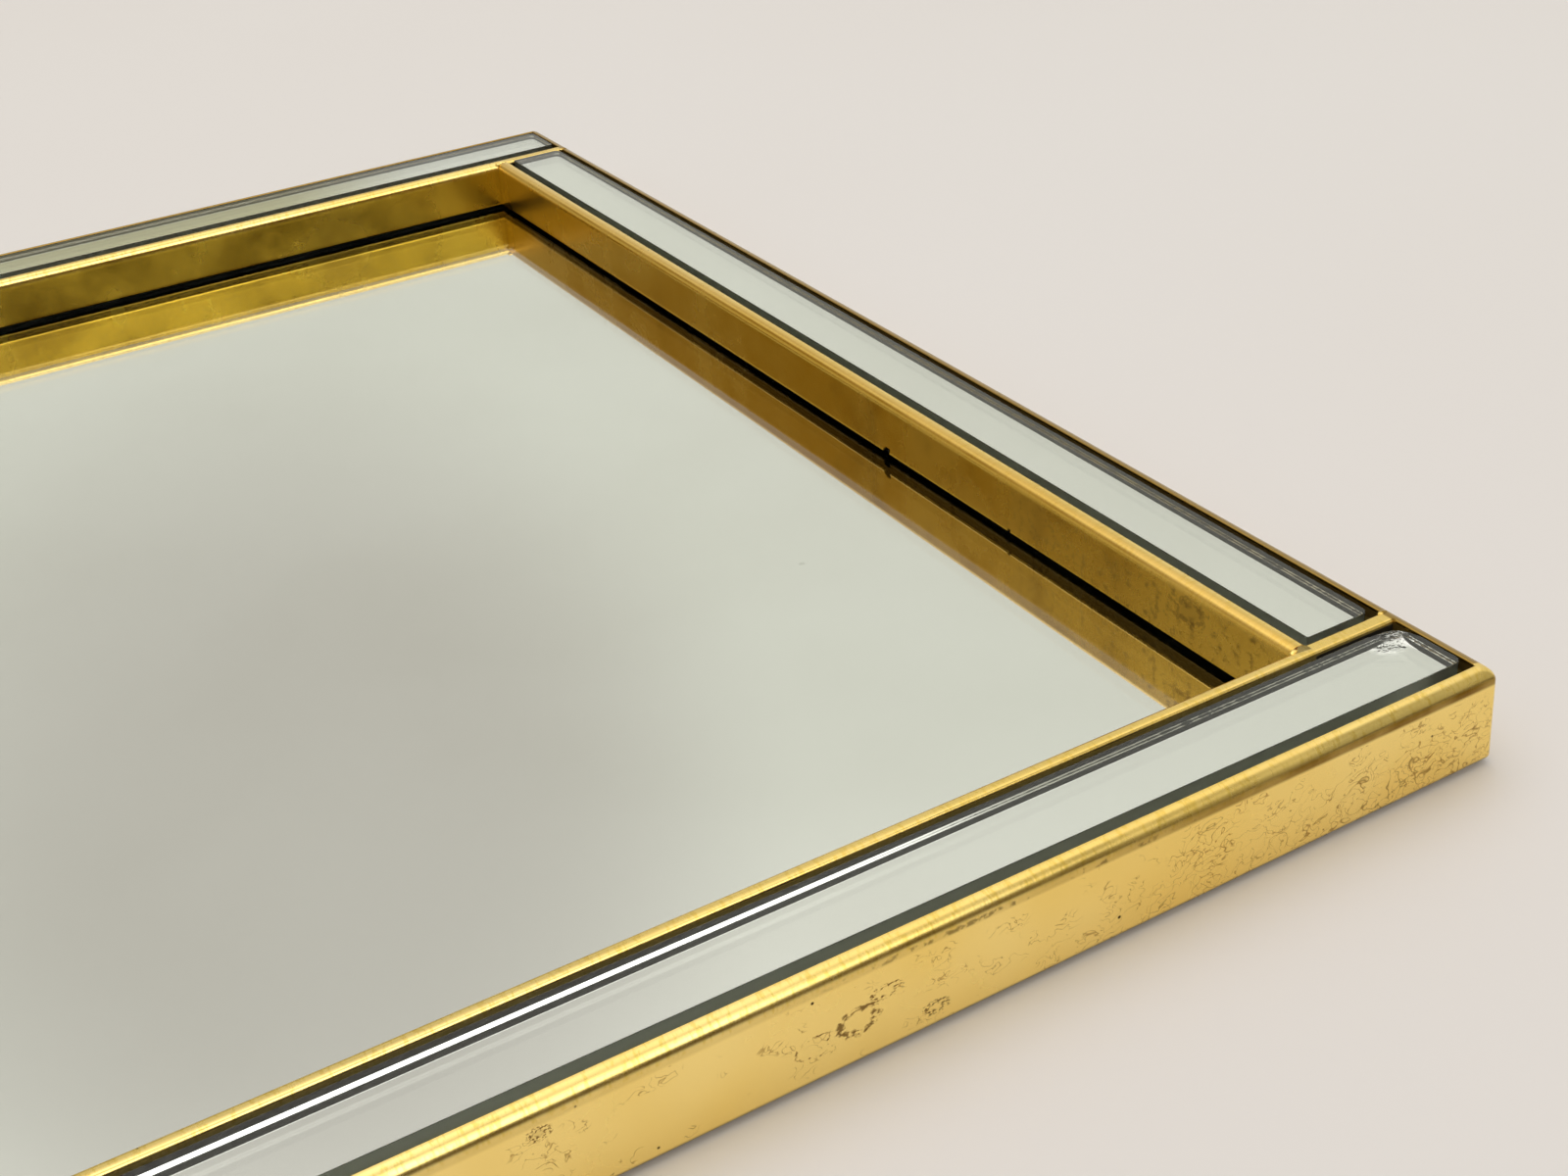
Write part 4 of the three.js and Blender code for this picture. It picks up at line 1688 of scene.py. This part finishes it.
@dataclass(frozen=True)
class Room:
    """The room that lights the tray and shows in its mirrors, by direction."""

    walls: Colour = rgb(0.74, 0.735, 0.66)
    ceiling: Colour = rgb(1.30, 1.26, 1.22)
    far_wall: Colour = rgb(0.50, 0.47, 0.29)
    far_wall_share: float = 0.9
    front: Colour = rgb(0.40, 0.39, 0.31)
    front_low: Colour = rgb(0.075, 0.048, 0.012)
    bright_panel: Colour = rgb(1.7, 1.68, 1.6)
    backdrop: Colour = rgb(0.80, 0.79, 0.78)
    dull: Patch = Patch((0.16, 0.80, 0.575), 3, 15, rgb(0.56, 0.53, 0.485), 0.9)
    dark: Patch = Patch((-0.50, 0.82, 0.28), 9, 29, rgb(0.25, 0.165, 0.02))
    bright: Patch = Patch((0.17, -0.75, 0.64), 9, 20, rgb(2.7, 2.66, 2.58))

    def build(self) -> None:
        """Builds the world, brightest over the front and dim low in front and to the back left."""
        world = bpy.data.worlds.new("studio")
        bpy.context.scene.world = world
        world.use_nodes = True
        g = Graph(world.node_tree)
        ray = g.add("ShaderNodeTexCoord").outputs["Generated"]
        across, along, up = g.split(ray)
        path = g.add("ShaderNodeLightPath").outputs
        mirrored = path["Is Glossy Ray"]
        front = g.ramp(g.math("MULTIPLY", along, -1.0), 0.0, 0.35)
        far_low = g.product(g.ramp(up, 0.337, 0.318), g.ramp(across, 0.33, 0.24), self.far_wall_share)
        panel_width = g.product(g.ramp(across, 0.44, 0.30), g.ramp(across, -0.40, -0.20))
        panel_height = g.product(g.ramp(up, 0.42, 0.54), g.ramp(up, 0.97, 0.86))
        low_width = g.product(g.ramp(across, -0.30, -0.12), g.ramp(across, 0.60, 0.45))
        colour = g.mix(g.ramp(up, 0.55, 0.95), self.walls, self.ceiling)
        for share, paint in (
            (self.dull.seen(g, ray), self.dull.colour),
            (self.dark.seen(g, ray), self.dark.colour),
            (far_low, self.far_wall),
            (front, self.front),
            (g.product(panel_width, panel_height, front, mirrored), self.bright_panel),
            (self.bright.seen(g, ray), self.bright.colour),
            (g.product(front, mirrored, g.ramp(up, 0.48, 0.32), low_width), self.front_low),
            (path["Is Camera Ray"], self.backdrop),
        ):
            colour = g.mix(share, colour, paint)
        back = world.node_tree.nodes["Background"]
        g.feed(back.inputs["Color"], colour)
        back.inputs["Strength"].default_value = 1.0


@dataclass(frozen=True)
class FloorFinish:
    """A pale floor, painted lighter where the brass and glass mirror it, and painted dark in those
    reflections in front of the tray: painted light and painted dark reflection.
    """

    light: Colour = rgb(0.83, 0.80, 0.81)
    dark: Colour = rgb(0.82, 0.785, 0.79)
    # Painted light: the brighter floor that reflections see.
    mirrored: Colour = rgb(0.87, 0.85, 0.84)
    # Painted dark reflection: the floor in front of the tray, as reflections see it.
    far: Colour = rgb(0.05, 0.035, 0.02)
    dark_reflection_fade: Span = (-0.27, -0.35)
    roughness: float = 0.6

    def build(self) -> bpy.types.Material:
        """Builds the material.

        Returns:
            The finished material.
        """
        material, g, shader, where = new_material("pale_floor")
        tone = g.ramp(g.noise(where, 2.5, 2.0), 0.3, 0.7)
        mirrored = g.add("ShaderNodeLightPath").outputs["Is Glossy Ray"]
        far = g.product(mirrored, g.ramp(g.split(where)[1], *self.dark_reflection_fade))
        # Reflections see a painted brighter floor, and a painted dark one in front of the tray.
        colour = g.mix(mirrored, g.mix(tone, self.light, self.dark), self.mirrored)
        g.feed(shader.inputs["Base Color"], g.mix(far, colour, self.far))
        shader.inputs["Roughness"].default_value = self.roughness
        return material


@dataclass
class Stage:
    """The pale floor, the soft light and the camera."""

    reach: float = 3.0
    lens: float = 45.96
    sensor: float = 36.0
    nearest: float = 10.0 * MM
    eye: Triple = (-99.93 * MM, -393.83 * MM, 218.13 * MM)
    heading: float = math.radians(29.07)
    dip: float = math.radians(30.50)
    roll: float = math.radians(-3.92)
    box_at: Triple = (-0.5, 0.5, 2.4)
    box_size: float = 1.6
    box_power: float = 5.0
    box_colour: Triple = (1.0, 0.97, 0.95)

    def build(self) -> None:
        """Sets up the whole stage."""
        self.floor()
        self.light()
        Room().build()
        self.camera()
        scene = bpy.context.scene
        scene.view_settings.view_transform = "Standard"
        scene.cycles.glossy_bounces = 10
        scene.cycles.transmission_bounces = 12
        scene.cycles.max_bounces = 16

    def floor(self) -> None:
        """Lays the floor."""
        bm = bmesh.new()
        bmesh.ops.create_grid(bm, x_segments=1, y_segments=1, size=self.reach)
        mesh = bpy.data.meshes.new("floor")
        bm.to_mesh(mesh)
        bm.free()
        mesh.materials.append(FloorFinish().build())
        floor = bpy.data.objects.new("floor", mesh)
        bpy.context.scene.collection.objects.link(floor)
        floor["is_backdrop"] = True

    def light(self) -> None:
        """Hangs the soft box."""
        light = bpy.data.lights.new("top_box", "AREA")
        light.shape = "SQUARE"
        light.size = self.box_size
        light.energy = self.box_power
        light.color = self.box_colour
        lamp = bpy.data.objects.new("top_box", light)
        lamp.location = self.box_at
        lamp.rotation_mode = "QUATERNION"
        lamp.rotation_quaternion = (-Vector(self.box_at)).to_track_quat("-Z", "Y")
        bpy.context.scene.collection.objects.link(lamp)

    def camera(self) -> None:
        """Sets the camera over the front left of the tray, looking to its far right."""
        data = bpy.data.cameras.new("camera")
        data.lens = self.lens
        data.sensor_width = self.sensor
        data.clip_start = self.nearest
        camera = bpy.data.objects.new("camera", data)
        bpy.context.scene.collection.objects.link(camera)
        ahead = Vector((
            math.sin(self.heading) * math.cos(self.dip),
            math.cos(self.heading) * math.cos(self.dip),
            -math.sin(self.dip),
        ))
        right = Vector((math.cos(self.heading), -math.sin(self.heading), 0.0))
        up = right.cross(ahead)
        level_right = right * math.cos(self.roll) + up * math.sin(self.roll)
        level_up = up * math.cos(self.roll) - right * math.sin(self.roll)
        turn = Matrix((level_right, level_up, -ahead)).transposed().to_4x4()
        camera.matrix_world = Matrix.Translation(self.eye) @ turn
        bpy.context.scene.camera = camera


# ---------------------------------------------------------------- the tray


SOLDER = (
    ("inner", (125.2 * MM, 175.2 * MM, 20.35 * MM), (1.0 * MM, 0.8 * MM, 0.55 * MM), 0),
    ("outer", (147.2 * MM, 174.8 * MM, 20.6 * MM), (1.2 * MM, 0.6 * MM, 0.45 * MM), 7),
)


class Tray:
    """The whole tray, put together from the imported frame."""

    plate_edge = 0.3 * MM
    pin_shank = 0.6 * MM
    screw_shank = 1.4 * MM
    screw_slot = 0.32 * MM

    def __init__(self) -> None:
        """Reads the tray's sizes and prepares its finishes."""
        self.lo, self.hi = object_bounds()
        self.finishes = Finishes()
        self.shop = Workshop(body=next(iter(frame["bodies"])))

    def rails(self) -> None:
        """Makes the four brass casings and dresses their cores."""
        for side in Side:
            node = f"{side.word}_rail_casing"
            lo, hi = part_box(node)
            size = hi - lo
            length, width = (size.x, size.y) if side.through else (size.y, size.x)
            casing = RailCasing(side, length, width, lo.z, hi.z, side.place(self.hi.x, self.hi.y))
            if not side.through:
                casing.channel_far = casing.side_channel_far
            self.shop.finish_piece(
                f"{side.word}_casing", casing.build(), self.finishes.brass[side.through], "brass",
                [node], wall=casing.sheet,
            )
            self.shop.dress(f"{side.word}_rail_core", self.finishes.wood[side.through])

    def solder(self) -> None:
        """Makes the solder at the four joints: a bead in each inner corner and one on each outer lip."""
        for i, (right, back) in enumerate(((-1, -1), (1, -1), (1, 1), (-1, 1))):
            word = f"{'back' if back > 0 else 'front'}_{'right' if right > 0 else 'left'}"
            for kind, (x, y, z), half, first_seed in SOLDER:
                bead = SolderBead(Vector((right * x, back * y, z)), Vector(half), first_seed + i)
                self.shop.finish_piece(
                    f"solder_{kind}_{word}", bead.build(), self.finishes.brass[True], "brass",
                )

    def strips(self) -> None:
        """Makes the four inlaid mirror strips and dresses their bedding."""
        for side in Side:
            glass_node = f"{side.word}_strip_glass"
            silver_node = f"{side.word}_strip_silvering"
            strip = MirrorStrip(side, *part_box(glass_node), *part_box(silver_node))
            glass = self.shop.finish_piece(
                f"{side.word}_glass", strip.glass(), self.finishes.glass, "glass", [glass_node],
            )
            glass.data.materials.append(self.finishes.ground_edge)
            # The third finish is the painted shade on the upper far sides.
            glass.data.materials.append(self.finishes.far_edge_shade)
            for face in glass.data.polygons:
                face.material_index = strip.wall_of(face)
            self.shop.finish_piece(
                f"{side.word}_silver", strip.silver(), self.finishes.silver, "silvering", [silver_node],
            )
            self.shop.dress(f"{side.word}_strip_bedding", self.finishes.mastic)

    def plate(self) -> None:
        """Dresses the mirror plate and its backing board, with the plate's edges black as painted shade."""
        bm = block(*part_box("mirror_plate_glass"))
        round_edges(bm, bm.edges[:], self.plate_edge, 2)
        plate = self.shop.finish_piece(
            "mirror_plate", bm, self.finishes.glass, "glass", ["mirror_plate_glass"],
        )
        # Painted shade: the plate's edges are black, so the gap beneath the rails stays dark.
        plate.data.materials.append(self.finishes.mastic)
        for face in plate.data.polygons:
            face.material_index = 1 if abs(face.normal.z) < 0.95 else 0
        self.shop.dress("mirror_plate_silvering", self.finishes.silver)
        self.shop.dress("backing_board", self.finishes.hardboard)

    def fixings(self) -> None:
        """Makes the pins and screws and dresses the braces."""
        zinc = self.finishes.zinc
        for node in sorted(frame["nodes"]):
            if node.startswith("board_pin"):
                lo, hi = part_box(node)
                pin = TurnedFixing(lo, hi, pin_profile((hi.x - lo.x) / 2, self.pin_shank), steps=16)
                name = node.replace("board_pin", "panel_pin")
                self.shop.finish_piece(name, pin.build(), zinc, "zinc_steel", [node])
            elif node.startswith("brace_screw"):
                lo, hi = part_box(node)
                profile = screw_profile((hi.x - lo.x) / 2, self.screw_shank)
                turn = 2.4 * int(node[-1]) + len(node)
                screw = TurnedFixing(lo, hi, profile, steps=24, slot=self.screw_slot, turn=turn)
                name = node.replace("brace_screw", "screw")
                self.shop.finish_piece(name, screw.build(), zinc, "zinc_steel", [node])
            elif node.startswith("corner_brace"):
                self.shop.dress(node, zinc)

    def pads(self) -> None:
        """Makes the felt pads."""
        for node in sorted(n for n in frame["nodes"] if n.startswith("felt_pad")):
            pad = FeltPad(*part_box(node))
            name = node.replace("felt_pad", "pad")
            self.shop.finish_piece(name, pad.build(), self.finishes.felt, "felt", [node])


def main() -> None:
    """Builds the stage and the tray."""
    logging.basicConfig(level=logging.INFO, format="%(name)s: %(message)s")
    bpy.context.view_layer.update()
    Stage().build()
    tray = Tray()
    for step in (tray.rails, tray.solder, tray.strips, tray.plate, tray.fixings, tray.pads):
        step()
        log.info("%s done, %d pieces so far", step.__name__, len(tray.shop.made))
    bpy.context.view_layer.update()


if __name__ == "__main__":
    main()
